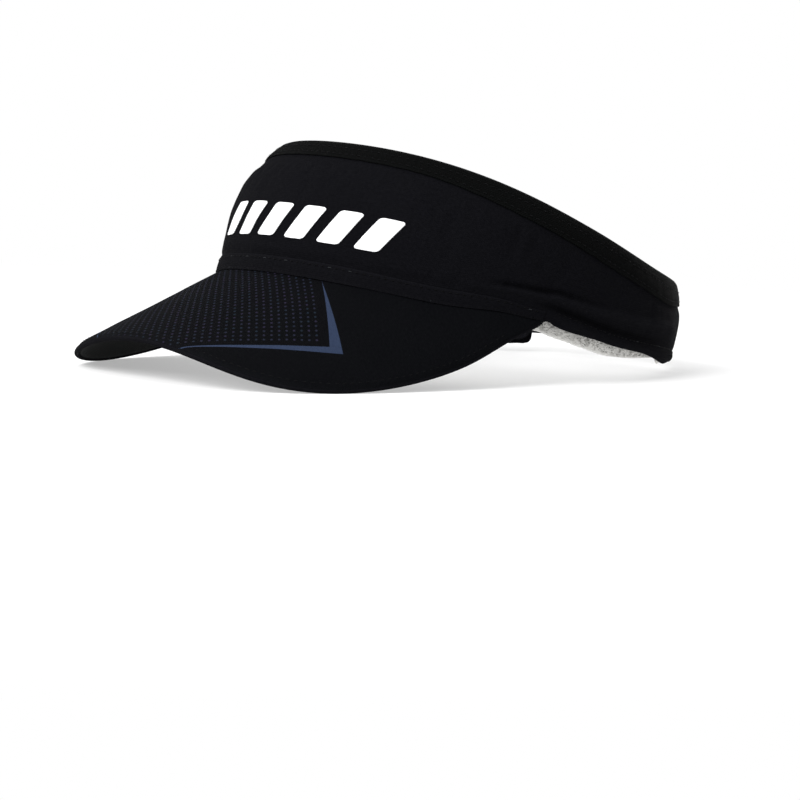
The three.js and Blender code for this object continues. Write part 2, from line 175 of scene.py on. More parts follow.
def oval(shape, turn):
    x = shape["half_width"] * sine(turn) * (1 - shape["taper"] * cosine(turn))
    return x, shape["back"] - shape["half_length"] * cosine(turn)


CORNER = oval(HEM, CORNER_TURN)


def hem_height(turn):
    behind = np.clip((away(turn) - CORNER_TURN) / (180 - CORNER_TURN), 0, 1)
    fall = (2 * behind**3 - 3 * behind**2 + 1) * brim_height(*CORNER)
    easing = (behind**3 - 2 * behind**2 + behind) * HEM_SLOPE_BEHIND_BRIM
    rear = (fall + easing) * (1 - smooth(away(turn), *FLAT_HEM))
    return np.where(away(turn) <= CORNER_TURN, brim_height(*oval(HEM, turn)), rear)


def crest_height(turn):
    return sum(height * cosine(order * turn) for order, height in enumerate(CREST_HEIGHT))


def rear_radius(height):
    share = height / REAR["height"]
    return mix(REAR["hem"], REAR["crest"], share) + REAR["bulge"] * 4 * share * (1 - share)


def band_surface(turn, share):
    turn, share = np.broadcast_arrays(np.asarray(turn, float), share)
    height = mix(hem_height(turn), crest_height(turn), share)
    low, high = oval(HEM, turn), oval(CREST, turn)
    depth = mix(BULGE["front"], BULGE["side"], smooth(away(turn), BULGE["front_turn"], BULGE["side_turn"]))
    swell = depth * 4 * share * (1 - share) * (1 + BULGE["upward"] * (2 * share - 1))
    x = mix(low[0], high[0], share) + swell * sine(turn)
    y = mix(low[1], high[1], share) - swell * cosine(turn)
    roundness = smooth(away(turn), REAR["from"], REAR["round"])
    radius = rear_radius(height)
    x = mix(x, radius * sine(turn), roundness)
    y = mix(y, REAR["centre"] - radius * cosine(turn), roundness)
    return np.stack([x, y, height], -1)


def band_normal(turn, share, step=0.01):
    point = band_surface(turn, share)
    along = band_surface(np.asarray(turn) + step, share) - point
    upward = band_surface(turn, np.asarray(share) + step) - point
    return unit(np.cross(along, upward))


def band_point(turn, share, depth):
    turn, share, depth = np.broadcast_arrays(np.asarray(turn, float), share, depth)
    return band_surface(turn, share) - band_normal(turn, share) * depth[..., None]


def share_along(turn, edge, distance):
    """The share that lies a distance from the hem (edge 0) or from the crest (edge 1)."""
    turn, distance = np.broadcast_arrays(np.asarray(turn, float), np.asarray(distance, float))
    towards = 1 if edge == 0 else -1
    start = band_surface(turn, edge)
    step = 0.01
    pace = np.linalg.norm(band_surface(turn, edge + towards * step) - start, axis=-1) / step
    near, far = np.zeros(turn.shape), np.ones(turn.shape)
    for _ in range(22):
        middle = (near + far) / 2
        short = np.linalg.norm(band_surface(turn, edge + towards * middle) - start, axis=-1) < distance
        near, far = np.where(short, middle, near), np.where(short, far, middle)
    return edge + towards * np.where(distance < 0, distance / pace, far)


def above_hem(turn, distance):
    return share_along(turn, 0, distance)


def below_crest(turn, distance):
    return share_along(turn, 1, distance)


def lower_edge(turn, depth):
    """The share where a layer's lower edge clears the brim in front, or meets the hem's height behind it."""
    turn, depth = np.broadcast_arrays(np.asarray(turn, float), np.asarray(depth, float))
    over_brim = 1 - smooth(away(turn), CORNER_TURN - 0.5, CORNER_TURN + 2.5)
    low, high = np.full(turn.shape, -0.3), np.full(turn.shape, 0.4)
    for _ in range(26):
        middle = (low + high) / 2
        point = band_point(turn, middle, depth)
        floor = mix(hem_height(turn), brim_height(point[..., 0], point[..., 1]) + SEAM_GAP, over_brim)
        under = point[..., 2] < floor
        low, high = np.where(under, middle, low), np.where(under, high, middle)
    return high


def binding_reach(turn):
    """How far the binding reaches down from the crest: further at the sides than at its ends."""
    widened = smooth(away(turn), *BINDING_WIDTH["widens"]) * (1 - smooth(away(turn), *BINDING_WIDTH["narrows"]))
    return mix(BINDING_WIDTH["ends"], BINDING_WIDTH["sides"], widened)


def upper_row_drop(turn):
    return 0.47 * binding_reach(turn)


def lower_row_drop(turn):
    return binding_reach(turn) - 1.5


def band_height(turn):
    return np.linalg.norm(band_surface(turn, 1) - band_surface(turn, 0), axis=-1)


TABLE_TURNS = np.linspace(-230, 230, 921)
_mid = band_surface(TABLE_TURNS, 0.5)
_lengths = np.concatenate([[0], np.cumsum(np.linalg.norm(np.diff(_mid, axis=0), axis=-1))])


def round_length(turn):
    """Millimetres along the band from straight ahead."""
    return np.interp(turn, TABLE_TURNS, _lengths) - np.interp(0, TABLE_TURNS, _lengths)


def strap_point(turn, height, depth, step=0.01):
    """A point of the rear closure, which slides round the rear arc's axis."""
    turn, height, depth = np.broadcast_arrays(np.asarray(turn, float), height, depth)
    radius = rear_radius(height)
    slope = (rear_radius(height + step) - radius) / step
    length = np.hypot(1, slope)
    reach = radius - depth / length
    x, y = reach * sine(turn), REAR["centre"] - reach * cosine(turn)
    return np.stack([x, y, height + depth * slope / length], -1)


def strap_normal(turn):
    turn = np.asarray(turn, float)
    return np.stack([sine(turn), -cosine(turn), np.zeros_like(turn)], -1)


# ---- Meshes ----

class Shape:
    """Points, faces and cloth coordinates gathered into one mesh."""

    def __init__(self):
        self.points, self.cloth, self.faces, self.count = [], [], [], 0

    def add(self, points, faces, cloth):
        points = np.asarray(points, float).reshape(-1, 3)
        self.points.append(points)
        self.cloth.append(np.asarray(cloth, float).reshape(-1, 3))
        self.faces.extend((np.asarray(faces) + self.count).tolist())
        self.count += len(points)
        return self

    def build(self, name, material):
        shift = np.array([0, LENGTH_SHIFT, 0])
        points = (np.concatenate(self.points) + shift) * MM
        mesh = bpy.data.meshes.new(name)
        mesh.from_pydata(points.tolist(), [], self.faces)
        facing = bmesh.new()
        facing.from_mesh(mesh)
        bmesh.ops.recalc_face_normals(facing, faces=facing.faces)
        facing.to_mesh(mesh)
        facing.free()
        mesh.shade_smooth()
        layer = mesh.attributes.new("cloth", "FLOAT_VECTOR", "POINT")
        layer.data.foreach_set("vector", np.concatenate(self.cloth).astype(np.float32).ravel())
        piece = bpy.data.objects.new(name, mesh)
        bpy.context.scene.collection.objects.link(piece)
        mesh.materials.append(material)
        return piece


def quads_round(stations, ring):
    """Faces of a tube of rings, joined station to station, with open ends."""
    station, corner = np.meshgrid(np.arange(stations - 1), np.arange(ring), indexing="ij")
    following = (corner + 1) % ring
    a, b = station * ring + corner, station * ring + following
    return np.stack([a, b, b + ring, a + ring], -1).reshape(-1, 4)


def rim(edge, before, other, count):
    """A half-round rim from one sheet edge to the other, bulging away from the sheet."""
    middle = (edge + other) / 2
    half = (edge - other) / 2
    outward = unit(edge - before) * np.linalg.norm(half, axis=-1, keepdims=True)
    angles = np.pi * np.arange(1, count + 1) / (count + 1)
    return np.stack([middle + half * np.cos(a) + outward * np.sin(a) for a in angles], 1)


def sheet(outer, inner, cloth, rims=4):
    """A closed sheet between two grids [station, row], with half-round rims along both long edges."""
    stations, rows = outer.shape[:2]
    top = rim(outer[:, -1], outer[:, -2], inner[:, -1], rims)
    bottom = rim(inner[:, 0], inner[:, 1], outer[:, 0], rims)
    loop = np.concatenate([outer, top, inner[:, ::-1], bottom], 1)
    across = np.concatenate(
        [cloth, np.repeat(cloth[:, -1:], rims, 1), cloth[:, ::-1] + [0, 400, 0], np.repeat(cloth[:, :1], rims, 1)], 1
    )
    ring = loop.shape[1]
    half = rims // 2
    low = [(ring - 1 - j, ring - rims + j) for j in range(half)][::-1]
    middle = [(k, 2 * rows + rims - 1 - k) for k in range(rows)]
    high = [(rows + j, rows + rims - 1 - j) for j in range(half)]
    pairs = np.array(low + middle + high)
    cap = np.stack([pairs[:-1, 0], pairs[1:, 0], pairs[1:, 1], pairs[:-1, 1]], -1)
    faces = np.concatenate([quads_round(stations, ring), cap, cap + (stations - 1) * ring])
    return loop, faces, across


def bristles(centres, sideways, upward, radii, sides):
    """Closed tubes [piece, ring] with their own axes at each ring, such as stitches or terry loops."""
    pieces, rings = centres.shape[:2]
    angles = 2 * np.pi * np.arange(sides) / sides
    circle = sideways[:, :, None] * np.cos(angles)[:, None] + upward[:, :, None] * np.sin(angles)[:, None]
    points = centres[:, :, None] + circle * radii[..., None, None]
    one = quads_round(rings, sides)
    per_piece = rings * sides
    faces = (one[None] + (np.arange(pieces) * per_piece)[:, None, None]).reshape(-1, 4).tolist()
    ends = np.arange(sides)
    for start in range(0, pieces * per_piece, per_piece):
        faces.append((ends + start).tolist())
        faces.append((ends[::-1] + start + per_piece - sides).tolist())
    return points.reshape(-1, 3), faces


def add_bristles(shape, centres, sideways, upward, radii, sides, tints):
    points, faces = bristles(centres, sideways, upward, radii, sides)
    rings = centres.shape[1]
    run = np.tile(np.repeat(np.linspace(0, 1, rings), sides), len(centres))
    round_ = np.tile(np.arange(sides) / sides, len(centres) * rings)
    cloth = np.stack([run * 3, round_, np.repeat(tints, rings * sides)], -1)
    shape.points.append(points)
    shape.cloth.append(cloth)
    shape.faces.extend([[index + shape.count for index in face] for face in faces])
    shape.count += len(points)


def add_stitches(shape, starts, ends, normals, radius=0.24, lift=0.2, dip=0.4, glint=0.12):
    """Short raised stitches whose two ends dip into the cloth. A few are painted lighter than the rest, as painted
    glints.
    """
    run = np.linspace(0, 1, 7)
    rise = -dip + (lift + dip) * np.sin(np.pi * run) ** 0.55
    centres = starts[:, None] + (ends - starts)[:, None] * run[:, None] + normals[:, None] * rise[:, None]
    sideways = unit(np.cross(ends - starts, normals))
    spread = np.broadcast_to(sideways[:, None], centres.shape)
    upward = np.broadcast_to(normals[:, None], centres.shape)
    radii = np.broadcast_to(radius * (0.7 + 0.3 * np.sin(np.pi * run)), centres.shape[:2])
    # Stitches with a tint of one are painted lighter as glints: a painted highlight.
    tints = np.where(rng.random(len(starts)) < glint, 1.0, rng.random(len(starts)) * 0.3)
    add_bristles(shape, centres, spread, upward, radii, 6, tints)


def along_path(points, normals, stitch, gap):
    """Starts, ends and normals of stitches laid end to end along a line of points."""
    lengths = np.concatenate([[0], np.cumsum(np.linalg.norm(np.diff(points, axis=0), axis=-1))])
    starts = np.arange(gap, lengths[-1] - stitch, stitch + gap)

    def at(distance, values):
        return np.stack([np.interp(distance, lengths, values[:, axis]) for axis in range(3)], -1)

    return at(starts, points), at(starts + stitch, points), unit(at(starts + stitch / 2, normals))


def stitched_line(name, points, normals, material, stitch=2.2, gap=0.9, **sizes):
    shape = Shape()
    add_stitches(shape, *along_path(points, normals, stitch, gap), **sizes)
    return shape.build(name, material)


def add_curls(shape, bases, normals, width, height, radius, sides=4):
    """Small standing loops of yarn, each turned its own way."""
    count = len(bases)
    helper = unit(rng.normal(size=(count, 3)))
    along = unit(np.cross(normals, helper))
    angles = np.radians(np.linspace(-30, 210, 6))
    size = rng.uniform(0.7, 1.25, count)[:, None, None]
    lean = rng.normal(size=(count, 1, 3)) * 0.25
    arch = along[:, None] * np.cos(angles)[:, None] * width
    rise = (normals[:, None] + lean) * np.sin(angles)[:, None] * height
    centres = bases[:, None] + (arch + rise) * size
    across = np.broadcast_to(unit(np.cross(along, normals))[:, None], centres.shape)
    outward = unit(arch / width + rise / height)
    radii = np.full(centres.shape[:2], radius)
    add_bristles(shape, centres, across, outward, radii, sides, rng.random(count))


# ---- Materials ----

def colour(red, green, blue):
    """A screen colour, 0 to 255, as the linear numbers that shaders take."""
    share = np.array([red, green, blue]) / 255
    linear = np.where(share <= 0.04045, share / 12.92, ((share + 0.055) / 1.055) ** 2.4)
    return (*map(float, linear), 1.0)


class Finish:
    """A material under construction: wires nodes from the cloth coordinates to one shader."""

    def __init__(self, name):
        self.material = bpy.data.materials.new(name)
        self.material.use_nodes = True
        self.tree = self.material.node_tree
        self.tree.nodes.clear()
        output = self.tree.nodes.new("ShaderNodeOutputMaterial")
        self.shader = self.tree.nodes.new("ShaderNodeBsdfPrincipled")
        self.tree.links.new(self.shader.outputs[0], output.inputs[0])
        place = self.tree.nodes.new("ShaderNodeAttribute")
        place.attribute_name = "cloth"
        self.place = place.outputs["Vector"]
        parts = self.node("ShaderNodeSeparateXYZ", Vector=self.place).outputs
        self.u, self.v, self.tint = parts[0], parts[1], parts[2]

    def put(self, socket, value):
        if isinstance(value, bpy.types.NodeSocket):
            self.tree.links.new(value, socket)
        else:
            socket.default_value = value

    def node(self, kind, settings=None, **inputs):
        made = self.tree.nodes.new(kind)
        for key, value in (settings or {}).items():
            setattr(made, key, value)
        for key, value in inputs.items():
            self.put(made.inputs[key], value)
        return made

    def calc(self, operation, *values):
        made = self.tree.nodes.new("ShaderNodeMath")
        made.operation = operation
        for socket, value in zip(made.inputs, values):
            self.put(socket, value)
        return made.outputs[0]

    def noise(self, size, detail=2.0, stretch=(1, 1, 1)):
        scaled = self.node("ShaderNodeVectorMath", {"operation": "MULTIPLY"})
        self.put(scaled.inputs[0], self.place)
        self.put(scaled.inputs[1], tuple(share / size for share in stretch))
        made = self.node("ShaderNodeTexNoise", Vector=scaled.outputs[0], Scale=1.0, Detail=detail)
        return made.outputs[0]

    def wave(self, phase):
        """0 to 1 and back for each whole step of phase."""
        turned = self.calc("MULTIPLY", phase, 2 * np.pi)
        return self.calc("MULTIPLY_ADD", self.calc("SINE", turned), 0.5, 0.5)

    def ridge(self, phase):
        """A triangle wave, 1 at each whole step of phase and 0 between."""
        folded = self.calc("ABSOLUTE", self.calc("SUBTRACT", self.calc("FRACT", phase), 0.5))
        return self.calc("MULTIPLY", folded, 2.0)

    def step(self, value, low, high):
        made = self.node("ShaderNodeMapRange", {"interpolation_type": "SMOOTHSTEP"})
        for key, number in {"Value": value, "From Min": low, "From Max": high}.items():
            self.put(made.inputs[key], number)
        return made.outputs[0]

    def mixed(self, share, first, second):
        made = self.node("ShaderNodeMix", {"data_type": "RGBA"})
        self.put(made.inputs[0], share)
        self.put(made.inputs[6], first)
        self.put(made.inputs[7], second)
        return made.outputs[2]

    def relief(self, height, depth, strength=1.0):
        bump = self.node("ShaderNodeBump", Strength=strength, Distance=depth * MM, Height=height)
        self.put(self.shader.inputs["Normal"], bump.outputs[0])

    def surface(self, base, roughness, specular=0.12, sheen=0.0, sheen_roughness=0.4):
        settings = {
            "Base Color": base,
            "Roughness": roughness,
            "Specular IOR Level": specular,
            "Sheen Weight": sheen,
            "Sheen Roughness": sheen_roughness,
        }
        for key, value in settings.items():
            self.put(self.shader.inputs[key], value)
        return self.material

    # Weaves, as heights from 0 to 1

    def knit(self, wale, course):
        leg = self.ridge(self.calc("DIVIDE", self.u, wale))
        phase = self.calc("MULTIPLY_ADD", leg, 0.5, self.calc("DIVIDE", self.v, course))
        groove = self.calc("MULTIPLY", self.step(leg, 0.0, 0.35), self.step(leg, 1.0, 0.65))
        return self.calc("MULTIPLY_ADD", self.wave(phase), 0.55, self.calc("MULTIPLY", groove, 0.45))

    def twill(self, pitch, lean=1.0):
        diagonal = self.calc("MULTIPLY_ADD", self.v, lean, self.u)
        return self.wave(self.calc("DIVIDE", diagonal, pitch))

    def herringbone(self, pitch, width):
        zigzag = self.calc("MULTIPLY", self.ridge(self.calc("DIVIDE", self.v, width)), width / pitch / 2)
        return self.wave(self.calc("ADD", self.calc("DIVIDE", self.u, pitch), zigzag))

    def plain_weave(self, pitch):
        warp = self.wave(self.calc("DIVIDE", self.u, pitch))
        weft = self.wave(self.calc("DIVIDE", self.v, pitch))
        over = self.calc("ABSOLUTE", self.calc("SUBTRACT", warp, weft))
        return self.calc("POWER", over, 0.7)


def cloth_finish(name, dark, light, weave, relief, roughness=0.9, specular=0.02, sheen=0.0, patch=24):
    """A woven or knitted fabric: weave in colour and relief, soft patches, fine fibre, worn edges, and painted
    highlight and painted shade where the cloth's tint asks for them.
    """
    finish = Finish(name)
    height = weave(finish)
    fibre = finish.noise(0.35, 2.0)
    mottle = finish.noise(1.2, 2.0)
    patches = finish.noise(patch, 3.0)
    shade = finish.calc("MULTIPLY_ADD", height, 0.4, finish.calc("MULTIPLY", fibre, 0.35))
    shade = finish.calc("ADD", shade, finish.calc("MULTIPLY", patches, 0.3))
    shade = finish.calc("MULTIPLY_ADD", finish.calc("SUBTRACT", mottle, 0.5), 0.8, shade)
    shade = finish.node("ShaderNodeClamp", Value=finish.calc("SUBTRACT", shade, 0.08)).outputs[0]
    # A lighter colour for worn edges; on the crown panel's fold ridge and hem roll and on the binding's crest fold it
    # is a painted highlight.
    worn = tuple(min(1.0, 1.5 * share) for share in light[:3]) + (1.0,)
    base = finish.mixed(shade, dark, light)
    base = finish.mixed(finish.calc("MULTIPLY", finish.tint, 0.6), base, worn)
    # Below zero the tint paints the cloth darker: painted shade in the crown panel's crease and hollow.
    painted_shade_colour = tuple(0.3 * share for share in dark[:3]) + (1.0,)
    base = finish.mixed(finish.calc("MULTIPLY", finish.tint, -0.85), base, painted_shade_colour)
    finish.relief(finish.calc("MULTIPLY_ADD", fibre, 0.5, height), relief)
    rough = finish.calc("MULTIPLY_ADD", patches, 0.12, roughness - 0.06)
    finish.surface(base, rough, specular, sheen)
    return finish


KNIT_DARK, KNIT_LIGHT = (4, 4, 6), (17, 17, 20)
# The brim top is the panel's knit painted darker: painted shade that offsets the strong top light on the brim.
BRIM_SHADED_DARK, BRIM_SHADED_LIGHT = (3, 3, 5), (12, 13, 15)


def knit_material():
    dark, light = colour(*KNIT_DARK), colour(*KNIT_LIGHT)
    return cloth_finish("knit", dark, light, lambda f: f.knit(0.95, 0.8), 0.12).material


def binding_material():
    # The tape's colours are painted darker: painted shade that offsets the top light falling on the crest.
    dark, light = colour(2, 2, 2), colour(8, 9, 9)
    return cloth_finish("binding", dark, light, lambda f: f.herringbone(1.1, 3.2), 0.14, 0.85, 0.03).material


def lining_material():
    dark, light = colour(9, 9, 11), colour(24, 24, 28)
    return cloth_finish("lining", dark, light, lambda f: f.twill(1.0, 0.7), 0.1).material


def webbing_material():
    dark, light = colour(7, 7, 8), colour(24, 24, 27)
    return cloth_finish("webbing", dark, light, lambda f: f.herringbone(1.4, 5.5), 0.3, 0.8, 0.06).material


def under_brim_material():
    # The underside's colours are painted lighter than its dark cloth: painted light, standing in for light bounced up
    # from the floor.
    dark, light = colour(21, 22, 22), colour(43, 44, 44)
    return cloth_finish("under_brim", dark, light, lambda f: f.plain_weave(0.9), 0.1).material


def thread_material():
    finish = Finish("thread")
    twist = finish.wave(finish.calc("MULTIPLY_ADD", finish.u, 2.2, finish.v))
    base = finish.mixed(twist, colour(4, 4, 5), colour(14, 14, 16))
    # Stitches marked as glints are painted lighter: a painted highlight.
    base = finish.mixed(finish.step(finish.tint, 0.5, 1.0), base, colour(40, 42, 44))
    finish.relief(twist, 0.08)
    finish.surface(base, 0.6, 0.06)
    return finish.material


def white_thread_material():
    finish = Finish("white_thread")
    twist = finish.wave(finish.calc("MULTIPLY_ADD", finish.u, 2.2, finish.v))
    base = finish.mixed(twist, colour(150, 150, 146), colour(226, 225, 220))
    finish.relief(twist, 0.08)
    finish.surface(base, 0.55, 0.35, 0.1)
    return finish.material


def terry_material():
    finish = Finish("terry")
    tufts = finish.noise(0.7, 3.0)
    patches = finish.noise(14, 3.0)
    shade = finish.calc("MULTIPLY_ADD", tufts, 0.7, finish.calc("MULTIPLY", patches, 0.5))
    base = finish.mixed(shade, colour(176, 175, 172), colour(238, 237, 233))
    base = finish.mixed(finish.calc("MULTIPLY", finish.tint, 0.25), base, colour(250, 249, 246))
    finish.relief(tufts, 0.5, 0.9)
    finish.surface(base, 0.95, 0.1, 0.15, 0.6)
    return finish.material


def foam_material():
    finish = Finish("foam")
    cells = finish.node("ShaderNodeTexVoronoi", Vector=finish.place, Scale=1.6).outputs["Distance"]
    base = finish.mixed(cells, colour(34, 34, 36), colour(66, 66, 69))
    finish.relief(cells, 0.2)
    finish.surface(base, 0.95)
    return finish.material


def board_material():
    finish = Finish("board")
    grain = finish.noise(0.5, 4.0)
    flow = finish.noise(18, 2.0, (1, 0.3, 1))
    base = finish.mixed(finish.calc("MULTIPLY_ADD", grain, 0.5, flow), colour(30, 30, 33), colour(60, 60, 64))
    finish.relief(grain, 0.06)
    finish.surface(base, 0.5, 0.4)
    return finish.material


def hook_material():
    finish = Finish("hooks")
    streaks = finish.noise(0.8, 3.0)
    base = finish.mixed(streaks, colour(20, 20, 22), colour(52, 52, 56))
    finish.relief(streaks, 0.05)
    finish.surface(base, 0.42, 0.45)
    return finish.material


def pile_material():
    finish = Finish("pile")
    tufts = finish.noise(0.5, 3.0)
    base = finish.mixed(finish.calc("MULTIPLY_ADD", finish.tint, 0.4, tufts), colour(16, 16, 18), colour(46, 46, 50))
    finish.relief(tufts, 0.4)
    finish.surface(base, 0.95, 0.1, 0.1)
    return finish.material


def label_material():
    finish = Finish("label")
    satin = finish.twill(0.5, 0.25)
    patches = finish.noise(6, 3.0)
    shade = finish.calc("MULTIPLY_ADD", satin, 0.4, finish.calc("MULTIPLY", patches, 0.6))
    finish.relief(satin, 0.05)
    finish.surface(finish.mixed(shade, colour(196, 196, 193), colour(236, 236, 233)), 0.45, 0.35, 0.05)
    return finish.material


def film_material():
    finish = Finish("film")
    weave = finish.knit(0.95, 0.8)
    patches = finish.noise(5, 3.0)
    shade = finish.calc("MULTIPLY_ADD", weave, 0.25, finish.calc("MULTIPLY", patches, 0.6))
    base = finish.mixed(shade, colour(214, 215, 216), colour(247, 248, 248))
    worn = finish.step(finish.noise(1.1, 4.0), 0.7, 0.8)
    base = finish.mixed(finish.calc("MULTIPLY", worn, finish.tint), base, colour(150, 151, 154))
    finish.relief(weave, 0.06)
    finish.surface(base, 0.5, 0.3)
    return finish.material


# The brim's print is laid out on arcs about a far centre: rows of dots follow the arcs, and the
# chevron's long arm does too, while its short arm runs towards that centre.
PRINT_CENTRE = (-185.1, 148.6)
PRINT_RADIUS = 293.9
PRINT_START = -34.03
DOT_PITCH = (3.1, 2.54)
DOT_RADIUS = 0.52
CHEVRON = {"inner": (5.2, -3.2), "outer": (10.7, -6.2), "heel_lean": 0.15, "long_end": -66, "short_end": 35.4}


def print_place(finish, across):
    """Millimetres along a print arc, and inward from the first row of dots."""
    x = finish.calc("SUBTRACT", across, PRINT_CENTRE[0])
    y = finish.calc("SUBTRACT", finish.v, PRINT_CENTRE[1])
    angle = finish.calc("ARCTAN2", y, x)
    along = finish.calc("MULTIPLY", finish.calc("SUBTRACT", angle, float(np.radians(PRINT_START))), PRINT_RADIUS)
    squares = finish.calc("ADD", finish.calc("MULTIPLY", x, x), finish.calc("MULTIPLY", y, y))
    return along, finish.calc("SUBTRACT", PRINT_RADIUS, finish.calc("SQRT", squares))


def band_between(finish, value, low, high, blur=0.12):
    over = finish.step(finish.calc("SUBTRACT", value, low), -blur, blur)
    under = finish.step(finish.calc("SUBTRACT", high, value), -blur, blur)
    return finish.calc("MULTIPLY", over, under)


def chevron(finish, along, inward):
    """Two arms that meet in a mitred corner and taper to a point."""
    (inner_along, inner_in), (outer_along, outer_in) = CHEVRON["inner"], CHEVRON["outer"]
    long_end, short_end = CHEVRON["long_end"], CHEVRON["short_end"]
    left = finish.calc("DIVIDE", finish.calc("SUBTRACT", along, long_end), inner_along - long_end)
    width = finish.calc("POWER", finish.calc("MAXIMUM", left, 0.0), 1.05)
    edge = finish.calc("MULTIPLY_ADD", width, outer_in - inner_in, inner_in)
    long_arm = band_between(finish, inward, edge, inner_in)
    long_arm = finish.calc("MULTIPLY", long_arm, finish.step(along, long_end, long_end + 2))
    heel = outer_along - inner_along - CHEVRON["heel_lean"] * (inner_in - outer_in)
    below = finish.calc("SUBTRACT", inner_in, inward)
    right = finish.calc("MULTIPLY_ADD", below, CHEVRON["heel_lean"], inner_along + heel)
    stop = finish.step(finish.calc("SUBTRACT", right, along), -0.12, 0.12)
    long_arm = finish.calc("MULTIPLY", long_arm, stop)
    above = finish.calc("DIVIDE", finish.calc("SUBTRACT", short_end, inward), short_end - inner_in)
    width = finish.calc("POWER", finish.calc("MAXIMUM", above, 0.0), 1.15)
    edge = finish.calc("MULTIPLY_ADD", width, heel, inner_along)
    short_arm = band_between(finish, along, inner_along, edge)
    short_arm = finish.calc("MULTIPLY", short_arm, finish.step(inward, inner_in - 0.12, inner_in + 0.12))
    return finish.calc("MAXIMUM", long_arm, short_arm)


def dots(finish, along, inward):
    column = finish.calc("DIVIDE", along, DOT_PITCH[0])
    row = finish.calc("DIVIDE", inward, DOT_PITCH[1])
    off_column = finish.calc("SUBTRACT", column, finish.calc("ROUND", column))
    off_row = finish.calc("SUBTRACT", row, finish.calc("ROUND", row))
    x, y = finish.calc("MULTIPLY", off_column, DOT_PITCH[0]), finish.calc("MULTIPLY", off_row, DOT_PITCH[1])
    squares = finish.calc("ADD", finish.calc("MULTIPLY", x, x), finish.calc("MULTIPLY", y, y))
    distance = finish.calc("SQRT", squares)
    spot = finish.step(distance, DOT_RADIUS + 0.18, DOT_RADIUS - 0.18)
    cell = finish.node("ShaderNodeCombineXYZ", X=finish.calc("ROUND", column), Y=finish.calc("ROUND", row))
    hue = finish.node("ShaderNodeTexWhiteNoise", {"noise_dimensions": "2D"}, Vector=cell.outputs[0])
    return spot, hue.outputs[0]


def brim_material():
    # The knit's colours painted darker for the brim: painted shade.
    dark, light = colour(*BRIM_SHADED_DARK), colour(*BRIM_SHADED_LIGHT)
    finish = cloth_finish("brim_knit", dark, light, lambda f: f.knit(0.95, 0.8), 0.1)
    base = finish.shader.inputs["Base Color"].links[0].from_socket
    along, inward = print_place(finish, finish.u)
    folded = finish.calc("ABSOLUTE", finish.u)
    side_along, side_inward = print_place(finish, folded)
    inside = finish.calc("MULTIPLY", finish.step(side_along, 1.3, 0.9), finish.step(side_inward, -1.3, -0.9))
    spot, hue = dots(finish, along, inward)
    top_side = finish.step(finish.v, 150, 140)
    spot = finish.calc("MULTIPLY", finish.calc("MULTIPLY", spot, inside), top_side)
    ink = finish.mixed(hue, colour(25, 34, 44), colour(36, 32, 50))
    base = finish.mixed(finish.calc("MULTIPLY", spot, 0.75), base, ink)
    mark = finish.calc("MULTIPLY", chevron(finish, side_along, side_inward), top_side)
    thin = finish.noise(1.2, 3.0)
    paint = finish.mixed(thin, colour(37, 46, 66), colour(45, 55, 76))
    base = finish.mixed(finish.calc("MULTIPLY", mark, 0.96), base, paint)
    finish.put(finish.shader.inputs["Base Color"], base)
    printed = finish.calc("MAXIMUM", mark, spot)
    finish.put(finish.shader.inputs["Roughness"], finish.calc("MULTIPLY_ADD", printed, -0.25, 0.85))
    return finish.material


# ---- The panel's relief: puffed between its seams, gathered by them, creased low at the back ----

def simulate_panel():
    """Cloth simulation of the sewn panel: how far it swells off the frame, over turn and share."""
    turns = np.linspace(-148, 148, 149)
    shares = np.linspace(0.04, 0.94, 19)
    grid = band_point(turns[:, None], shares[None], 0.0)
    rows = len(shares)
    station, row = np.meshgrid(np.arange(len(turns) - 1), np.arange(rows - 1), indexing="ij")
    corner = (station * rows + row).ravel()
    faces = np.stack([corner, corner + rows, corner + rows + 1, corner + 1], -1)
    mesh = bpy.data.meshes.new("panel_cloth")
    mesh.from_pydata((grid.reshape(-1, 3) * MM).tolist(), [], faces.tolist())
    cloth = bpy.data.objects.new("panel_cloth", mesh)
    bpy.context.scene.collection.objects.link(cloth)
    sewn = cloth.vertex_groups.new(name="sewn")
    edge = np.zeros(grid.shape[:2], bool)
    edge[:, :2] = edge[:, -3:] = edge[:1] = edge[-1:] = True
    sewn.add(np.flatnonzero(edge.ravel()).tolist(), 1.0, "REPLACE")
    modifier = cloth.modifiers.new("cloth", "CLOTH")
    settings = modifier.settings
    settings.quality = 6
    settings.mass = 0.15
    settings.tension_stiffness = settings.compression_stiffness = 12
    settings.shear_stiffness = 4
    settings.bending_stiffness = 0.3
    settings.vertex_group_mass = "sewn"
    settings.shrink_min = -0.018
    settings.use_pressure = True
    settings.uniform_pressure_force = 0.5
    settings.effector_weights.gravity = 0
    modifier.collision_settings.use_collision = False
    scene = bpy.context.scene
    for number in range(1, 21):
        scene.frame_set(number)
    evaluated = cloth.evaluated_get(bpy.context.evaluated_depsgraph_get())
    moved = np.empty(len(mesh.vertices) * 3, np.float32)
    evaluated.data.vertices.foreach_get("co", moved)
    offset = moved.reshape(grid.shape) / MM - grid
    swell = (offset * band_normal(turns[:, None], shares[None])).sum(-1)
    bpy.data.objects.remove(cloth)
    scene.frame_set(1)
    return turns, shares, np.clip(swell, -0.6, 1.3)


def sample(table, turn, share):
    """A table over turn and share, read between its stations."""
    turns, shares, values = table
    i = np.interp(turn, turns, np.arange(len(turns)))
    k = np.interp(share, shares, np.arange(len(shares)))
    i0, k0 = np.minimum(i.astype(int), len(turns) - 2), np.minimum(k.astype(int), len(shares) - 2)
    a, b = i - i0, k - k0
    low = mix(values[i0, k0], values[i0 + 1, k0], a)
    high = mix(values[i0, k0 + 1], values[i0 + 1, k0 + 1], a)
    return mix(low, high, b)


swell_table = simulate_panel()


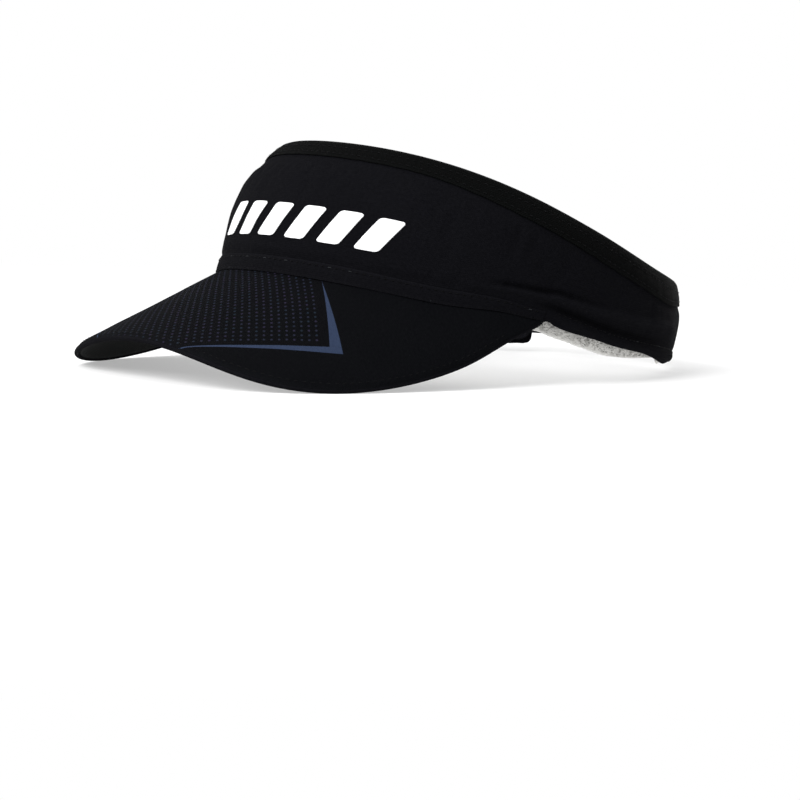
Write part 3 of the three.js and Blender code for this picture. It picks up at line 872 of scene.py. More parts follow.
def fold_rise(turn):
    """How far over the hem the long soft fold lies, low at the brim's corner and rising to the back."""
    return 8.5 + 4.7 * smooth(away(turn), 60, 112) + 0.4 * waves(round_length(turn), 70, 14)


def fold_ridge(turn, above):
    zone = smooth(away(turn), 52, 66) * (1 - smooth(away(turn), 112, 132))
    return zone * np.exp(-(((above - fold_rise(turn)) / 2.0) ** 2))


def fold_crease(turn, above):
    """The sharp crease over the fold's front half."""
    zone = smooth(away(turn), 58, 68) * (1 - smooth(away(turn), 74, 98))
    return zone * np.exp(-(((above - fold_rise(turn) - 2.7) / 1.2) ** 2))


def rear_rise(turn):
    """How much higher the hem's roll and stitching run at the back, where the hem itself is raised."""
    return 1.8 * smooth(away(turn), 122, 136)


def hem_valley(turn, above):
    """The hollow between the fold and the hem's stitching."""
    zone = smooth(away(turn), 72, 82) * (1 - smooth(away(turn), 104, 122))
    return zone * np.exp(-(((above - HEM_STITCH_RISE - 1.8) / 1.3) ** 2))


def relief(turn, share):
    """How far the outer fabric stands off the frame's surface, in millimetres."""
    turn, share = np.broadcast_arrays(np.asarray(turn, float), share)
    height = band_height(turn)
    above, below = share * height, (1 - share) * height - binding_reach(turn)
    place = round_length(turn)
    front = 1 - smooth(away(turn), CORNER_TURN - 4, CORNER_TURN + 4)
    free = smooth(above, 6.3, 11) * front + smooth(above, 4.5, 11) * (1 - front)
    free = free * smooth(below, -0.3, 3.5)
    gathers = 0.16 * waves(place, 7, 11) * np.exp(-(((below - 2.5) / 3.5) ** 2))
    gathers = gathers * (1 - 0.9 * smooth(away(turn), 100, 122))
    gathers = gathers + 0.13 * front * waves(place, 6, 12) * np.exp(-(((above - 9) / 3) ** 2))
    puff = 0.45 * np.exp(-(((below - 4.5) / 5) ** 2)) + 0.25 * front * np.exp(-(((above - 11) / 4) ** 2))
    drape = 0.22 * waves(place + 0.8 * above, 46, 13)
    fold = 1.5 * fold_ridge(turn, above) - 1.1 * fold_crease(turn, above)
    calm = 1 - 0.9 * smooth(away(turn), 102, 120)
    cloth = 0 if swell_table is None else 0.6 * calm * sample(swell_table, turn, share)
    seam = smooth(away(turn), CORNER_TURN - 2, CORNER_TURN + 2)
    above_roll = above - rear_rise(turn)
    roll = 0.6 * seam * np.exp(-(((above_roll - 2.8) / 1.3) ** 2))
    roll = roll - 0.3 * seam * np.exp(-(((above_roll - HEM_STITCH_RISE - 0.5) / 0.9) ** 2))
    roll = roll - 0.8 * hem_valley(turn, above)
    return free * (gathers + puff + drape + cloth + fold) + roll


# ---- Building pieces ----

def place(piece, body, slot, *nodes):
    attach(piece, body)
    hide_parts(*nodes)
    return piece


# The third cloth coordinate is a tone shift: lighter at worn edges, and on the crown panel also painted highlight and
# painted shade.
def band_cloth(turn, share, tone_shift=0.0):
    turn, share, tone_shift = np.broadcast_arrays(turn, share, tone_shift)
    return np.stack([round_length(turn), share * band_height(turn), tone_shift], -1)


def band_sheet(turns, shares, outer_depth, inner_depth, tone_shift=0.0, rims=4):
    turn = turns[:, None]
    outer = band_point(turn, shares, outer_depth)
    inner = band_point(turn, shares, inner_depth)
    return sheet(outer, inner, band_cloth(turn, shares, tone_shift), rims)


def front_share(turn):
    return 1 - smooth(away(turn), *FOAM_SIDE_TURNS)


def hem_lift(turn):
    """How far the soft rolled hem sits above the frame's hem line behind the brim."""
    side, dip, rear = smooth(away(turn), 80, 95), smooth(away(turn), 109, 122), smooth(away(turn), 121, 133)
    return 1.3 * side - 2.3 * dip + 4.8 * rear


def rounded_end(turn, from_edge, radius):
    """Turns drawn in at the band's two ends, so that the sheet's lower corners there are round."""
    short = np.clip(radius - from_edge, 0, radius)
    cut = (radius - np.sqrt(radius**2 - short**2)) / np.radians(REAR["crest"])
    return turn - np.sign(turn) * cut * smooth(away(turn), 142, BAND_END)


def crown_panel(material):
    turns = np.linspace(-BAND_END, BAND_END, 601)
    turn = turns[:, None]
    rows = np.linspace(0, 1, 60)
    bottom = lower_edge(turns, 0.0) + hem_lift(turns) / band_height(turns)
    shares = mix(bottom[:, None], below_crest(turns, 1.6)[:, None], rows)
    above = shares * band_height(turn)
    turn = rounded_end(turn, above - above[:, :1], 3.5)
    behind = smooth(away(turn), CORNER_TURN + 1, CORNER_TURN + 7)
    hem_fold = 0.75 * behind * (1 - smooth(above - rear_rise(turn), *HEM_FOLD_RISE))
    hem_fold = hem_fold * (1 - smooth(away(turn), 124, 136))
    stand_off = relief(turn, shares)
    thickness = PANEL_THICKNESS + hem_fold
    # Tone shift of the cloth, lighter above zero and darker below: partly wear and partly a painted highlight at the
    # hem's roll behind the brim, a painted highlight on the fold's ridge, and painted shade in the fold's crease and
    # in the hollow over the hem's stitching.
    tone_shift = 0.25 * behind * (1 - smooth(above, 1.3, 3.5)) + 0.4 * fold_ridge(turn, above)
    tone_shift = tone_shift - 0.75 * fold_crease(turn, above) - 0.8 * hem_valley(turn, above)
    outer = band_point(turn, shares, -stand_off)
    inner = band_point(turn, shares, np.minimum(thickness - np.maximum(stand_off, 0) * 0.8, thickness))
    shape = Shape().add(*sheet(outer, inner, band_cloth(turn, shares, tone_shift)))
    return place(shape.build("crown_panel_fabric", material), "band", "knit_fabric", "crown_panel")


def crown_lining(material):
    turns = np.linspace(-BAND_END, BAND_END, 301)
    turn = turns[:, None]
    rows = np.linspace(0, 1, 26)
    shares = mix(above_hem(turns, 5)[:, None], below_crest(turns, 1.6)[:, None], rows)
    turn = rounded_end(turn, (shares - shares[:, :1]) * band_height(turn), 4.5)
    extra = LINING_FRONT_EXTRA * front_share(turn)
    soft = 0.12 * waves(round_length(turn) + 20 * shares, 17, 21) * np.sin(np.pi * rows)
    inner = LINING[1] + extra + soft
    outer, inner = band_point(turn, shares, LINING[0] + extra + soft), band_point(turn, shares, inner)
    shape = Shape().add(*sheet(outer, inner, band_cloth(turn, shares)))
    return place(shape.build("crown_lining_fabric", material), "band", "lining_fabric", "crown_lining")


def crown_foam(material):
    turns = np.linspace(-75, 75, 121)
    rows = np.linspace(0, 1, 14)
    low, high = above_hem(turns, SEAM_TAPE_WIDTH), below_crest(turns, binding_reach(turns))
    shares = mix(low[:, None], high[:, None], rows)
    shape = Shape().add(*band_sheet(turns, shares, FOAM[0], FOAM[1]))
    return place(shape.build("crown_foam_pad", material), "band", "foam_pad", "crown_foam")


def binding_face(turn, below):
    """Depth of the binding's outer face: a little crowned between its edges, pulled in by its stitches."""
    crown = 0.22 * np.sin(np.pi * np.clip(below / binding_reach(turn), 0, 1)) ** 0.8
    rows = upper_row_drop(turn), lower_row_drop(turn)
    pulled = sum(0.14 * np.exp(-(((below - row) / 0.7) ** 2)) for row in rows)
    ripple = 0.07 * waves(round_length(turn), 9, 31) * smooth(below, 2, 6)
    return -(TAPE_LIFT + TAPE_THICKNESS) - crown + pulled - ripple


def top_binding(material):
    """One tape folded over the crest: down the outside, round the top, down the inside over the lining."""
    turns = np.linspace(-BAND_END, BAND_END, 501)
    turn = turns[:, None]
    extra = LINING_FRONT_EXTRA * front_share(turn)
    clearance, overhang = 0.4, 1.0
    inside = LINING[1] + extra + clearance + TAPE_THICKNESS
    outside = -(TAPE_LIFT + TAPE_THICKNESS)
    radius = (inside - outside) / 2
    middle = (inside + outside) / 2
    centre = radius - overhang
    run = np.linspace(0, 1, 15)
    arc = np.radians(np.linspace(0, 180, 15))[1:-1]
    low_edge = binding_reach(turn) + 0.12 * waves(round_length(turn), 11, 32)
    face_below = mix(low_edge, centre, run)
    back_below = mix(centre, low_edge, run)

    def path(inset):
        arc_below = centre - (radius - inset) * np.sin(arc)
        arc_depth = middle - (radius - inset) * np.cos(arc)
        below = np.concatenate([face_below, arc_below, back_below], 1)
        depth = np.concatenate([binding_face(turn, face_below) + inset, arc_depth, inside - inset + 0 * back_below], 1)
        return band_point(turn, below_crest(turn, below), depth)

    outer, inner = path(0.0), path(TAPE_THICKNESS)
    steps = np.concatenate([np.zeros((len(turns), 1)), np.cumsum(np.linalg.norm(np.diff(outer, axis=1), axis=-1), 1)], 1)
    edge = np.exp(-((steps / 0.7) ** 2))
    fold = np.exp(-(((steps - steps[:, 20:21]) / 1.5) ** 2))
    # The third coordinate: lighter along the tape's lower edge, where it is worn, and along the crest fold, a painted
    # highlight.
    cloth = np.stack([round_length(turn) + 0 * steps, steps, 0.35 * edge + 0.3 * fold], -1)
    shape = Shape().add(*sheet(outer, inner, cloth))
    return place(shape.build("top_binding_tape", material), "band", "binding_tape", "top_binding")


def seam_tape_width(turn):
    return SEAM_TAPE_WIDTH * (1 - 0.08 * smooth(away(turn), 20, 50) - 0.32 * smooth(away(turn), 52, CORNER_TURN - 1))


def seam_tape_face(turn, share):
    low = lower_edge(turn, -TAPE_LIFT)
    high = above_hem(turn, seam_tape_width(turn))
    across = np.clip((share - low) / (high - low), 0, 1)
    crown = 0.3 * np.sin(np.pi * across) ** 0.7
    ripple = 0.06 * waves(round_length(turn), 8, 33)
    pulled = 0.15 * np.exp(-(((across - 0.83) / 0.1) ** 2))
    full = 1 - 0.85 * smooth(away(turn), CORNER_TURN - 16, CORNER_TURN - 1)
    return -TAPE_LIFT - full * (TAPE_THICKNESS * 0.8 + crown + ripple - pulled) - 0.05


def seam_tape(material):
    end = CORNER_TURN - 1
    turns = np.linspace(-end, end, 401)
    turn = turns[:, None]
    rows = np.linspace(0, 1, 16)
    low, high = lower_edge(turns, -TAPE_LIFT), above_hem(turns, seam_tape_width(turns))
    shares = mix(low[:, None], high[:, None], rows)
    # Lighter at both edges of the tape, where it is worn.
    tone_shift = 0.4 * (np.exp(-((rows / 0.1) ** 2)) + np.exp(-(((1 - rows) / 0.1) ** 2)))
    face = seam_tape_face(turn, shares)
    shape = Shape().add(*band_sheet(turns, shares, face, -TAPE_LIFT, tone_shift))
    return place(shape.build("seam_tape_cover", material), "band", "binding_tape", "seam_tape")


def band_line(turns, shares, depth):
    return band_point(turns, shares, depth), band_normal(turns, shares)


def crest_thread(name, row_drop, material):
    turns = np.linspace(-BAND_END + 1, BAND_END - 1, 600)
    drop = row_drop(turns)
    line = band_line(turns, below_crest(turns, drop), binding_face(turns, drop) - 0.08)
    piece = stitched_line(name + "_stitches", *line, material, stitch=2.0, gap=0.9, radius=0.2, lift=0.12, glint=0.0)
    return place(piece, "band", "sewing_thread", name)


def seam_thread_upper(material):
    end = CORNER_TURN - 1.5
    turns = np.linspace(-end, end, 500)
    shares = above_hem(turns, seam_tape_width(turns) * 0.83)
    line = band_line(turns, shares, seam_tape_face(turns, shares) - 0.08)
    name = "seam_tape_thread_upper"
    piece = stitched_line(name + "_stitches", *line, material, stitch=1.7, gap=1.1, radius=0.2, lift=0.14, glint=0.12)
    return place(piece, "band", "sewing_thread", name)


def seam_thread_lower(material):
    """Overcasting: short stitches that tie the tape's lower edge down to the brim."""
    end = CORNER_TURN - 2
    count = 190
    turns = np.linspace(-end, end, count) + rng.uniform(-0.08, 0.08, count)
    low = lower_edge(turns, -TAPE_LIFT)
    high = above_hem(turns, 1.0 + rng.uniform(-0.2, 0.2, count))
    starts = band_point(turns, high, seam_tape_face(turns, high) - 0.02)
    ends = band_point(turns + 0.25, low - 0.006, -TAPE_LIFT - 0.35)
    shape = Shape()
    add_stitches(shape, starts, ends, band_normal(turns, low), radius=0.12, lift=0.05, dip=0.25, glint=0.04)
    name = "seam_tape_thread_lower"
    return place(shape.build(name + "_stitches", material), "band", "sewing_thread", name)


def hem_thread(name, side, material):
    turns = side * np.linspace(CORNER_TURN + 1.5, BAND_END - 2.5, 240)
    shares = above_hem(turns, HEM_STITCH_RISE + rear_rise(turns))
    line = band_line(turns, shares, -relief(turns, shares) - 0.04)
    piece = stitched_line(name + "_stitches", *line, material, stitch=2.0, gap=0.8, radius=0.2, lift=0.12, glint=0.06)
    return place(piece, "band", "sewing_thread", name)


# ---- Inside: sweatband and label ----

def sweat_rise(turn):
    return mix(28.0, 21.0, smooth(away(turn), 60, 125))


def sweat_drop(turn):
    return 3.6 * (1 - smooth(away(turn), 96, 130)) - 0.9


def sweatband(material):
    turns = np.linspace(-SWEATBAND_END, SWEATBAND_END, 481)
    turn = turns[:, None]
    rows = np.linspace(0, 1, 40)
    shares = mix(above_hem(turns, -sweat_drop(turns))[:, None], above_hem(turns, sweat_rise(turns))[:, None], rows)
    extra = LINING_FRONT_EXTRA * front_share(turn)
    along, up = round_length(turn), shares * band_height(turn)
    rough = 0.16 * waves(along + 0.7 * up, 3.1, 41) + 0.16 * waves(along - 1.3 * up, 2.3, 42)
    rough = rough + 0.2 * waves(up + 0.2 * along, 5.3, 43)
    edge_pinch = 0.45 * (np.exp(-((rows / 0.05) ** 2)) + np.exp(-(((1 - rows) / 0.06) ** 2)))
    stitched = 0.4 * np.exp(-(((sweat_rise(turn) - 3 - up) / 0.9) ** 2))
    outer = band_point(turn, shares, SWEATBAND[0] + extra + edge_pinch + 0.5 * rough)
    inner = band_point(turn, shares, SWEATBAND[1] + extra - edge_pinch - stitched + rough)
    shape = Shape().add(*sheet(outer, inner, band_cloth(turn, shares)))
    count = 2600
    places = rng.uniform(-SWEATBAND_END + 1, SWEATBAND_END - 1, count)
    peeking = rng.random(count) < 0.62
    places = np.where(peeking, np.sign(places) * rng.uniform(CORNER_TURN - 4, SWEATBAND_END - 1, count), places)
    rise = np.where(peeking, rng.uniform(0, 3.4, count), rng.uniform(0, 1, count) * (sweat_rise(places) - 1))
    at_share = above_hem(places, rise - sweat_drop(places) + 0.2)
    outward = peeking & (rng.random(count) < 0.6)
    extra = LINING_FRONT_EXTRA * front_share(places)
    depth = np.where(outward, SWEATBAND[0] + 0.1, SWEATBAND[1] - 0.1) + extra
    normals = band_normal(places, at_share) * np.where(outward, 1, -1)[:, None]
    low = np.exp(-((rise / 0.9) ** 2))[:, None]
    normals = unit(normals * (1 - 0.7 * low) + np.array([0, 0, -1.0]) * low)
    add_curls(shape, band_point(places, at_share, depth), normals, 0.32, 0.5, 0.13)
    return place(shape.build("sweatband_terry", material), "band", "terry_towelling", "sweatband")


def sweatband_thread(material):
    turns = np.linspace(-SWEATBAND_END + 1, SWEATBAND_END - 1, 500)
    shares = above_hem(turns, sweat_rise(turns) - 3)
    depth = SWEATBAND[1] - 0.2 + LINING_FRONT_EXTRA * front_share(turns)
    points, normals = band_line(turns, shares, depth)
    piece = stitched_line("sweatband_thread_stitches", points, -normals, material, stitch=2.4, gap=0.9, glint=0.0)
    return place(piece, "band", "sewing_thread", "sweatband_thread")


def care_label(material):
    """A blank satin tag, sewn along its top and curling away from the terry at its free end."""
    turns = np.linspace(99, 111, 40)
    turn = turns[:, None]
    rows = np.linspace(0, 1, 36)
    shares = mix(above_hem(turns, 4)[:, None], above_hem(turns, 17)[:, None], rows)
    curl = 2.2 * (1 - rows) ** 2 + 0.25 * np.sin(np.pi * (turn - 99) / 12) * (1 - rows)
    depth = SWEATBAND[1] + 0.45 + curl
    shape = Shape().add(*band_sheet(turns, shares, depth, depth + 0.28, 0.0, 2))
    return place(shape.build("care_label_satin", material), "band", "label_satin", "care_label")


# ---- The brim ----

def brim_outline(sweep):
    x = CORNER[0] * (sine(sweep) + BRIM_SQUARENESS * sine(2 * sweep))
    curve = (1 - BRIM_POINTEDNESS) * cosine(sweep) + BRIM_POINTEDNESS * cosine(sweep) ** 3
    return np.stack([x, CORNER[1] - (BRIM_REACH + CORNER[1]) * curve], -1)


def outline_inset(sweep, inset, step=0.05):
    point = brim_outline(sweep)
    along = unit(brim_outline(sweep + step) - brim_outline(sweep - step))
    inward = np.stack([-along[..., 1], along[..., 0]], -1)
    beside = point + inward * step
    slope = (brim_height(beside[..., 0], beside[..., 1]) - brim_height(point[..., 0], point[..., 1])) / step
    return point + inward * (inset / np.hypot(1, slope))[..., None]


def brim_root(share, root_turn):
    point = np.stack(oval(HEM, share * root_turn), -1)
    tuck = BRIM_ROOT_TUCK * (1 - np.abs(share) ** 3)
    length = np.linalg.norm(point, axis=-1)
    return point * ((length - tuck) / length)[..., None]


def brim_plan(shares, ribs, inset, root_turn, sweep):
    root = brim_root(shares, root_turn)[:, None]
    edge = outline_inset(shares * sweep, inset)[:, None]
    return mix(root, edge, ribs[None, :, None])


def brim_sheet(stations, ribs, inset, depths, soft=None, edge_drop=0.0, ends=(BRIM_COVER_ROOT_TURN, BRIM_COVER_SWEEP)):
    shares = np.linspace(-1, 1, stations)
    plan = brim_plan(shares, np.linspace(0, 1, ribs), inset, *ends)
    x, y = plan[..., 0], plan[..., 1]
    from_edge = np.linalg.norm(plan - plan[:, -1:], axis=-1)
    tuck = edge_drop * np.exp(-((from_edge / 0.9) ** 2))
    ease = 0 if soft is None else soft(x, y, from_edge)
    across, back = brim_flat(x, y)
    # Lighter at the cover's edge, where it is worn.
    tone_shift = 0.4 * np.exp(-((from_edge / 1.2) ** 2))
    cloth = np.stack([across, back, tone_shift], -1)
    return sheet(brim_point(x, y, depths[0] + tuck - ease), brim_point(x, y, depths[1] - ease), cloth)


def brim_softness(x, y, from_edge):
    """The cover lies a little unevenly over its board, with a shallow channel at the edge stitching."""
    uneven = 0.07 * waves(x + 0.4 * y, 38, 51) + 0.05 * waves(y - 0.3 * x, 27, 52)
    channel = -0.12 * np.exp(-(((from_edge - 1.6) / 0.7) ** 2))
    return uneven * smooth(from_edge, 0, 6) + channel


def brim_top_cover(material):
    shape = Shape().add(*brim_sheet(361, 90, 1.0, BRIM_TOP, brim_softness, 0.75))
    return place(shape.build("brim_top_fabric", material), "band", "knit_fabric", "brim_top_cover")


def brim_under_cover(material):
    def soft(x, y, from_edge):
        return -0.08 * waves(x + 0.3 * y, 31, 53) * smooth(from_edge, 0, 5)

    shape = Shape().add(*brim_sheet(301, 60, 2.3, BRIM_UNDER, soft))
    return place(shape.build("brim_under_fabric", material), "band", "binding_tape", "brim_under_cover")


def brim_core(material):
    shape = Shape().add(*brim_sheet(161, 30, 3.3, BRIM_CORE, ends=(BRIM_ROOT_TURN, BRIM_OUTER_SWEEP)))
    return place(shape.build("brim_core_board", material), "band", "brim_board", "brim_core")


def brim_piping(material):
    """A slim rolled edge that holds the covers together, a little uneven where it is stitched."""
    sweep = np.linspace(-89.9, 89.9, 560)
    radius = 1.05
    plan = outline_inset(sweep, 1.1)
    centre = brim_point(plan[:, 0], plan[:, 1], BRIM_UNDER[1] / 2 + 0.35)
    normal = brim_normal(plan[:, 0], plan[:, 1])
    ahead = unit(np.gradient(centre, axis=0))
    sideways = unit(np.cross(ahead, normal))
    lengths = np.concatenate([[0], np.cumsum(np.linalg.norm(np.diff(centre, axis=0), axis=-1))])
    taper = np.minimum(1, 0.5 + np.minimum(lengths, lengths[-1] - lengths) / 5)
    radii = radius * taper * (1 + 0.02 * waves(lengths, 4, 54))
    sides = 20
    points, faces = bristles(centre[None], sideways[None], normal[None], radii[None], sides)
    angle = np.tile(np.arange(sides) / sides, len(sweep))
    cloth = np.stack([np.repeat(lengths, sides), angle * 2 * np.pi * radius, 0.25 + 0 * angle], -1)
    shape = Shape()
    shape.points, shape.cloth, shape.faces, shape.count = [points], [cloth], faces, len(points)
    return place(shape.build("brim_edge_roll", material), "band", "binding_tape", "brim_edge_piping")


def brim_edge_thread(material):
    sweep = np.linspace(-84, 84, 500)
    plan = outline_inset(sweep, 3.3)
    x, y = plan[:, 0], plan[:, 1]
    points = brim_point(x, y, 0.12)
    normals = brim_normal(x, y)
    piece = stitched_line("brim_edge_thread_stitches", points, normals, material, radius=0.2, lift=0.1, glint=0.0)
    return place(piece, "band", "sewing_thread", "brim_edge_thread")


# ---- The rear closure ----

def strap_sheet(turns, outer, inner, low=STRAP_LOW, high=STRAP_HIGH, tip=None, corner=4.0, rows=26):
    """A strap round the rear arc. Its end at the turn named tip has rounded corners."""
    turn = turns[:, None]
    shrink = 0 * turn
    if tip is not None:
        from_tip = np.abs(turn - tip) * np.radians(REAR["crest"])
        short = np.clip(corner - from_tip, 0, corner)
        shrink = corner - np.sqrt(corner**2 - short**2)
    heights = mix(low + shrink, high - shrink, np.linspace(0, 1, rows))
    edges = np.minimum(heights - heights[:, :1], heights[:, -1:] - heights)
    # Lighter along the strap's edges, where it is worn.
    tone_shift = 0.45 * np.exp(-((edges / 0.5) ** 2))
    cloth = np.stack([turn * np.radians(REAR["crest"]) + 0 * heights, heights, tone_shift], -1)
    thin = 0.12 * np.exp(-((edges / 0.8) ** 2))
    return sheet(strap_point(turn, heights, outer + thin), strap_point(turn, heights, inner - thin), cloth)


def under_strap(material):
    start, mouth, settled, end = UNDER_STRAP_TURNS
    turns = np.linspace(start, end, 240)
    depth = mix(*UNDER_STRAP_DEPTHS, smooth(turns, mouth, settled))[:, None]
    shape = Shape().add(*strap_sheet(turns, depth, depth + STRAP_THICKNESS, tip=end))
    return place(shape.build("under_strap_webbing", material), "band", "strap_webbing", "under_strap")


def scattered(turns, low, high, pitch):
    """Uneven rows of places on a patch: turns and heights."""
    span = (turns[1] - turns[0]) * np.radians(REAR["crest"])
    columns, rows = int(span / pitch), int((high - low) / pitch)
    turn, height = np.meshgrid(np.linspace(*turns, columns + 2)[1:-1], np.linspace(low, high, rows + 2)[1:-1])
    jitter = 0.3 * pitch
    turn = turn.ravel() + rng.uniform(-jitter, jitter, turn.size) / np.radians(REAR["crest"])
    return turn, height.ravel() + rng.uniform(-jitter, jitter, turn.size)


def loop_patch(material):
    turns = np.linspace(*LOOPS["turns"], 120)
    low, high = STRAP_LOW + 1, STRAP_HIGH - 1
    outer, inner = LOOPS["depth"]
    shape = Shape().add(*strap_sheet(turns, outer + 0.35, inner, low, high, tip=LOOPS["turns"][1], corner=3.0))
    turn, height = scattered((LOOPS["turns"][0] + 0.5, LOOPS["turns"][1] - 2), low + 0.6, high - 0.6, 0.95)
    add_curls(shape, strap_point(turn, height, outer + 0.38), strap_normal(turn), 0.3, 0.24, 0.09, 3)
    return place(shape.build("loop_patch_pile", material), "band", "loop_pile", "loop_patch")


def hook_patch(material):
    """Hook tape: a thin backing with rows of small bent stalks that face the loops."""
    turns = np.linspace(*HOOKS["turns"], 100)
    low, high = STRAP_LOW + 1, STRAP_HIGH - 1
    outer, inner = HOOKS["depth"]
    shape = Shape().add(*strap_sheet(turns, outer, outer + 0.26, low, high, tip=HOOKS["turns"][0], corner=3.0))
    turn, height = scattered((HOOKS["turns"][0] + 2, HOOKS["turns"][1] - 0.5), low + 0.6, high - 0.6, 1.15)
    base = strap_point(turn, height, outer + 0.22)
    inward = -strap_normal(turn)
    bend = np.stack([0 * turn, 0 * turn, np.where(rng.random(len(turn)) < 0.5, 1.0, -1.0)], -1)
    angles = np.radians(np.linspace(0, 150, 6))
    stalk = 0.12
    centres = [base]
    for angle in angles:
        hook = inward * (stalk + 0.16 * np.sin(angle)) + bend * 0.16 * (1 - np.cos(angle))
        centres.append(base + hook)
    centres = np.stack(centres, 1)
    across = unit(np.cross(inward, bend))
    sideways = np.broadcast_to(across[:, None], centres.shape)
    upward = unit(np.cross(np.gradient(centres, axis=1), sideways))
    radii = np.full(centres.shape[:2], 0.075)
    add_bristles(shape, centres, sideways, upward, radii, 4, rng.random(len(turn)))
    return place(shape.build("hook_patch_tape", material), "strap_tail", "hook_tape", "hook_patch")


def over_strap(material):
    """One strap from the pocket to the free tail."""
    first, last = OVER_STRAP_TURNS
    turns = np.linspace(first, last, 330)
    shape = Shape().add(*strap_sheet(turns, OVER_STRAP_DEPTH, OVER_STRAP_DEPTH + STRAP_THICKNESS, tip=first))
    strap = shape.build("over_strap_webbing", material)
    middle = (STRAP_LOW + STRAP_HIGH) / 2
    half_bend = 1.6
    fixed, free = strap_point(np.array([PEEL_TURN + half_bend, PEEL_TURN - half_bend]), middle, OVER_STRAP_DEPTH)
    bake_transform(strap)
    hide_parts("over_strap_root", "over_strap_tail")
    return strap


def box_line(open_turn, far_turn, low, high, depth):
    """Three sides of a box of stitching, open towards its first turn."""
    side = np.linspace(open_turn, far_turn, 60)
    rise = np.linspace(low, high, 60)
    turns = np.concatenate([side, np.full(58, far_turn), side[::-1]])
    heights = np.concatenate([np.full(60, low), rise[1:-1], np.full(60, high)])
    return strap_point(turns, heights, depth(turns, heights)), strap_normal(turns)


def on_panel(turns, heights):
    return -relief(turns, heights / crest_height(turns)) - 0.06


def on_over_strap(turns, heights):
    return np.full(turns.shape, OVER_STRAP_DEPTH - 0.04)


def box_thread(name, body, material, box, depth):
    piece = stitched_line(name + "_stitches", *box_line(*box, depth), material, stitch=2.0, gap=0.8, glint=0.05)
    return place(piece, body, "sewing_thread", name)


# ---- The transfer emblem ----

def emblem_bar(number, material):
    """A slanted bar of film with rounded corners, lying on the panel and following its swell."""
    pitch = (EMBLEM["last"] - EMBLEM["first"]) / EMBLEM["bars"]
    start = EMBLEM["first"] + number * pitch
    rows = np.linspace(0, 1, 34)
    middle, half = start + pitch * EMBLEM["fill"] / 2, pitch * EMBLEM["fill"] / 2
    length = (EMBLEM["high"] - EMBLEM["low"]) * band_height(middle)
    corner = 1.3
    from_end = np.minimum(rows, 1 - rows) * length
    short = np.clip(corner - from_end, 0, corner * 0.995)
    per_degree = (round_length(middle + 0.5) - round_length(middle - 0.5))
    shrink = (corner - np.sqrt(corner**2 - short**2)) / per_degree
    columns = np.linspace(-1, 1, 24)[:, None]
    shares = np.broadcast_to(mix(EMBLEM["low"], EMBLEM["high"], rows), (24, 34))
    turns = middle + columns * (half - shrink) + EMBLEM["slant"] * rows
    stand_off = relief(turns, shares)
    edge = np.minimum(np.minimum(rows, 1 - rows) * length, (1 - np.abs(columns)) * half * per_degree)
    cloth = np.stack([round_length(turns), shares * band_height(turns), np.exp(-((edge / 0.8) ** 2))], -1)
    outer = band_point(turns, shares, -stand_off - 0.3)
    inner = band_point(turns, shares, -stand_off - 0.06)
    shape = Shape().add(*sheet(outer, inner, cloth, 2))
    node = f"emblem_bar_{number + 1}"
    return place(shape.build(node + "_film", material), "band", "transfer_film", node)


# ---- Assembly ----

def build_visor():
    knit, binding, thread = knit_material(), binding_material(), thread_material()
    webbing = webbing_material()
    crown_panel(knit)
    crown_lining(lining_material())
    crown_foam(foam_material())
    top_binding(binding)
    seam_tape(knit)
    crest_thread("top_binding_thread_upper", upper_row_drop, thread)
    crest_thread("top_binding_thread_lower", lower_row_drop, thread)
    seam_thread_upper(thread)
    seam_thread_lower(thread)
    hem_thread("hem_thread_left", 1, thread)
    hem_thread("hem_thread_right", -1, thread)
    sweatband(terry_material())
    sweatband_thread(white_thread_material())
    care_label(label_material())
    brim_top_cover(brim_material())
    brim_under_cover(under_brim_material())
    brim_core(board_material())
    brim_piping(knit)
    brim_edge_thread(thread)
    under_strap(webbing)
    loop_patch(pile_material())
    over_strap(webbing)
    hook_patch(hook_material())
    box_thread("under_strap_thread", "band", thread, (139.5, 147, 10, 22), on_panel)
    box_thread("pocket_thread", "band", thread, (211.5, 216, 9, 23), on_panel)
    box_thread("hook_patch_thread", "strap_tail", thread, (192, 170, 11, 26), on_over_strap)
    film = film_material()
    for number in range(EMBLEM["bars"]):
        emblem_bar(number, film)


# ---- Floor, lights and camera ----

def floor():
    size = 6.0
    mesh = bpy.data.meshes.new("floor")
    mesh.from_pydata([(-size, -size, 0), (size, -size, 0), (size, size, 0), (-size, size, 0)], [], [(0, 1, 2, 3)])
    plane = bpy.data.objects.new("floor", mesh)
    bpy.context.scene.collection.objects.link(plane)
    material = bpy.data.materials.new("floor")
    material.use_nodes = True
    tree = material.node_tree
    tree.nodes.clear()
    output = tree.nodes.new("ShaderNodeOutputMaterial")
    near = tree.nodes.new("ShaderNodeBsdfDiffuse")
    near.inputs["Color"].default_value = (0.9, 0.9, 0.9, 1)
    far = tree.nodes.new("ShaderNodeEmission")
    far.inputs["Color"].default_value = (1, 1, 1, 1)
    blend = tree.nodes.new("ShaderNodeMixShader")
    place_ = tree.nodes.new("ShaderNodeTexCoord")
    distance = tree.nodes.new("ShaderNodeVectorMath")
    distance.operation = "LENGTH"
    fade = tree.nodes.new("ShaderNodeMapRange")
    fade.interpolation_type = "SMOOTHSTEP"
    fade.inputs["From Min"].default_value = 0.2
    fade.inputs["From Max"].default_value = 0.7
    fade.inputs["To Min"].default_value = 0.4
    links = tree.links
    links.new(place_.outputs["Object"], distance.inputs[0])
    links.new(distance.outputs["Value"], fade.inputs["Value"])
    links.new(fade.outputs[0], blend.inputs[0])
    links.new(near.outputs[0], blend.inputs[1])
    links.new(far.outputs[0], blend.inputs[2])
    links.new(blend.outputs[0], output.inputs[0])
    mesh.materials.append(material)


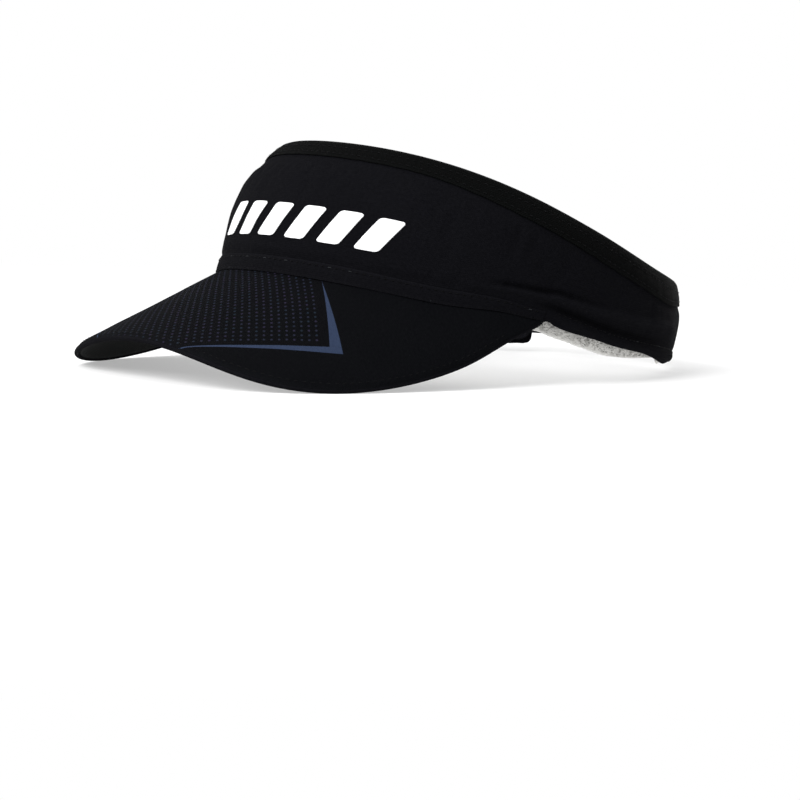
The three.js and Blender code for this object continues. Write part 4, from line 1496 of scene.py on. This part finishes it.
def softbox(name, azimuth, elevation, distance, size, power):
    """An area light that looks at the visor from a turn round it and a height over it."""
    light = bpy.data.lights.new(name, "AREA")
    light.shape = "SQUARE"
    light.size = size
    light.energy = power
    lamp = bpy.data.objects.new(name, light)
    bpy.context.scene.collection.objects.link(lamp)
    flat = distance * cosine(elevation)
    lamp.location = (flat * sine(azimuth), -flat * cosine(azimuth), distance * sine(elevation))
    lamp.rotation_euler = (-lamp.location).to_track_quat("-Z", "Y").to_euler()


def studio():
    world = bpy.data.worlds.new("studio")
    bpy.context.scene.world = world
    world.use_nodes = True
    tree = world.node_tree
    seen = tree.nodes.new("ShaderNodeLightPath")
    strength = tree.nodes.new("ShaderNodeMapRange")
    strength.inputs["To Min"].default_value = 0.3
    strength.inputs["To Max"].default_value = 1.0
    background = tree.nodes["Background"]
    background.inputs["Color"].default_value = (1, 1, 1, 1)
    tree.links.new(seen.outputs["Is Camera Ray"], strength.inputs["Value"])
    tree.links.new(strength.outputs[0], background.inputs["Strength"])
    softbox("key", 5, 35, 1.4, 0.9, 26)
    softbox("side", 110, 40, 1.5, 1.0, 4.5)
    softbox("top", 0, 88, 1.3, 1.2, 8)
    softbox("back", 212, 18, 1.5, 1.0, 11)
    softbox("far", 282, 24, 1.5, 1.0, 6)
    bpy.context.scene.view_settings.view_transform = "Standard"


CAMERA = {"azimuth": 48.481, "elevation": 2.783, "roll": 1.894, "lens": 137.83, "distance": 1250}
CAMERA_AIM = {"right": -18.058, "height": 47.065, "below": 61.2}


def camera():
    a, e, r = CAMERA["azimuth"], CAMERA["elevation"], CAMERA["roll"]
    right = np.array([cosine(a), sine(a), 0])
    back = np.array([sine(a) * cosine(e), -cosine(a) * cosine(e), sine(e)])
    up = np.cross(back, right)
    aim = right * CAMERA_AIM["right"] + np.array([0, LENGTH_SHIFT, CAMERA_AIM["height"]])
    position = aim + back * CAMERA["distance"]
    rolled_up = cosine(r) * up - sine(r) * right
    target = aim - rolled_up * CAMERA_AIM["below"]
    view_back = unit(position - target)
    view_right = unit(np.cross(rolled_up, view_back))
    view_up = np.cross(view_back, view_right)
    data = bpy.data.cameras.new("camera")
    data.lens = CAMERA["lens"]
    data.sensor_width = 36
    data.clip_end = 50
    eye = bpy.data.objects.new("camera", data)
    bpy.context.scene.collection.objects.link(eye)
    turned = Matrix(np.stack([view_right, view_up, view_back], 1).tolist()).to_4x4()
    eye.matrix_world = Matrix.Translation(Vector(position) * MM) @ turned
    bpy.context.scene.camera = eye


build_visor()
floor()
studio()
camera()
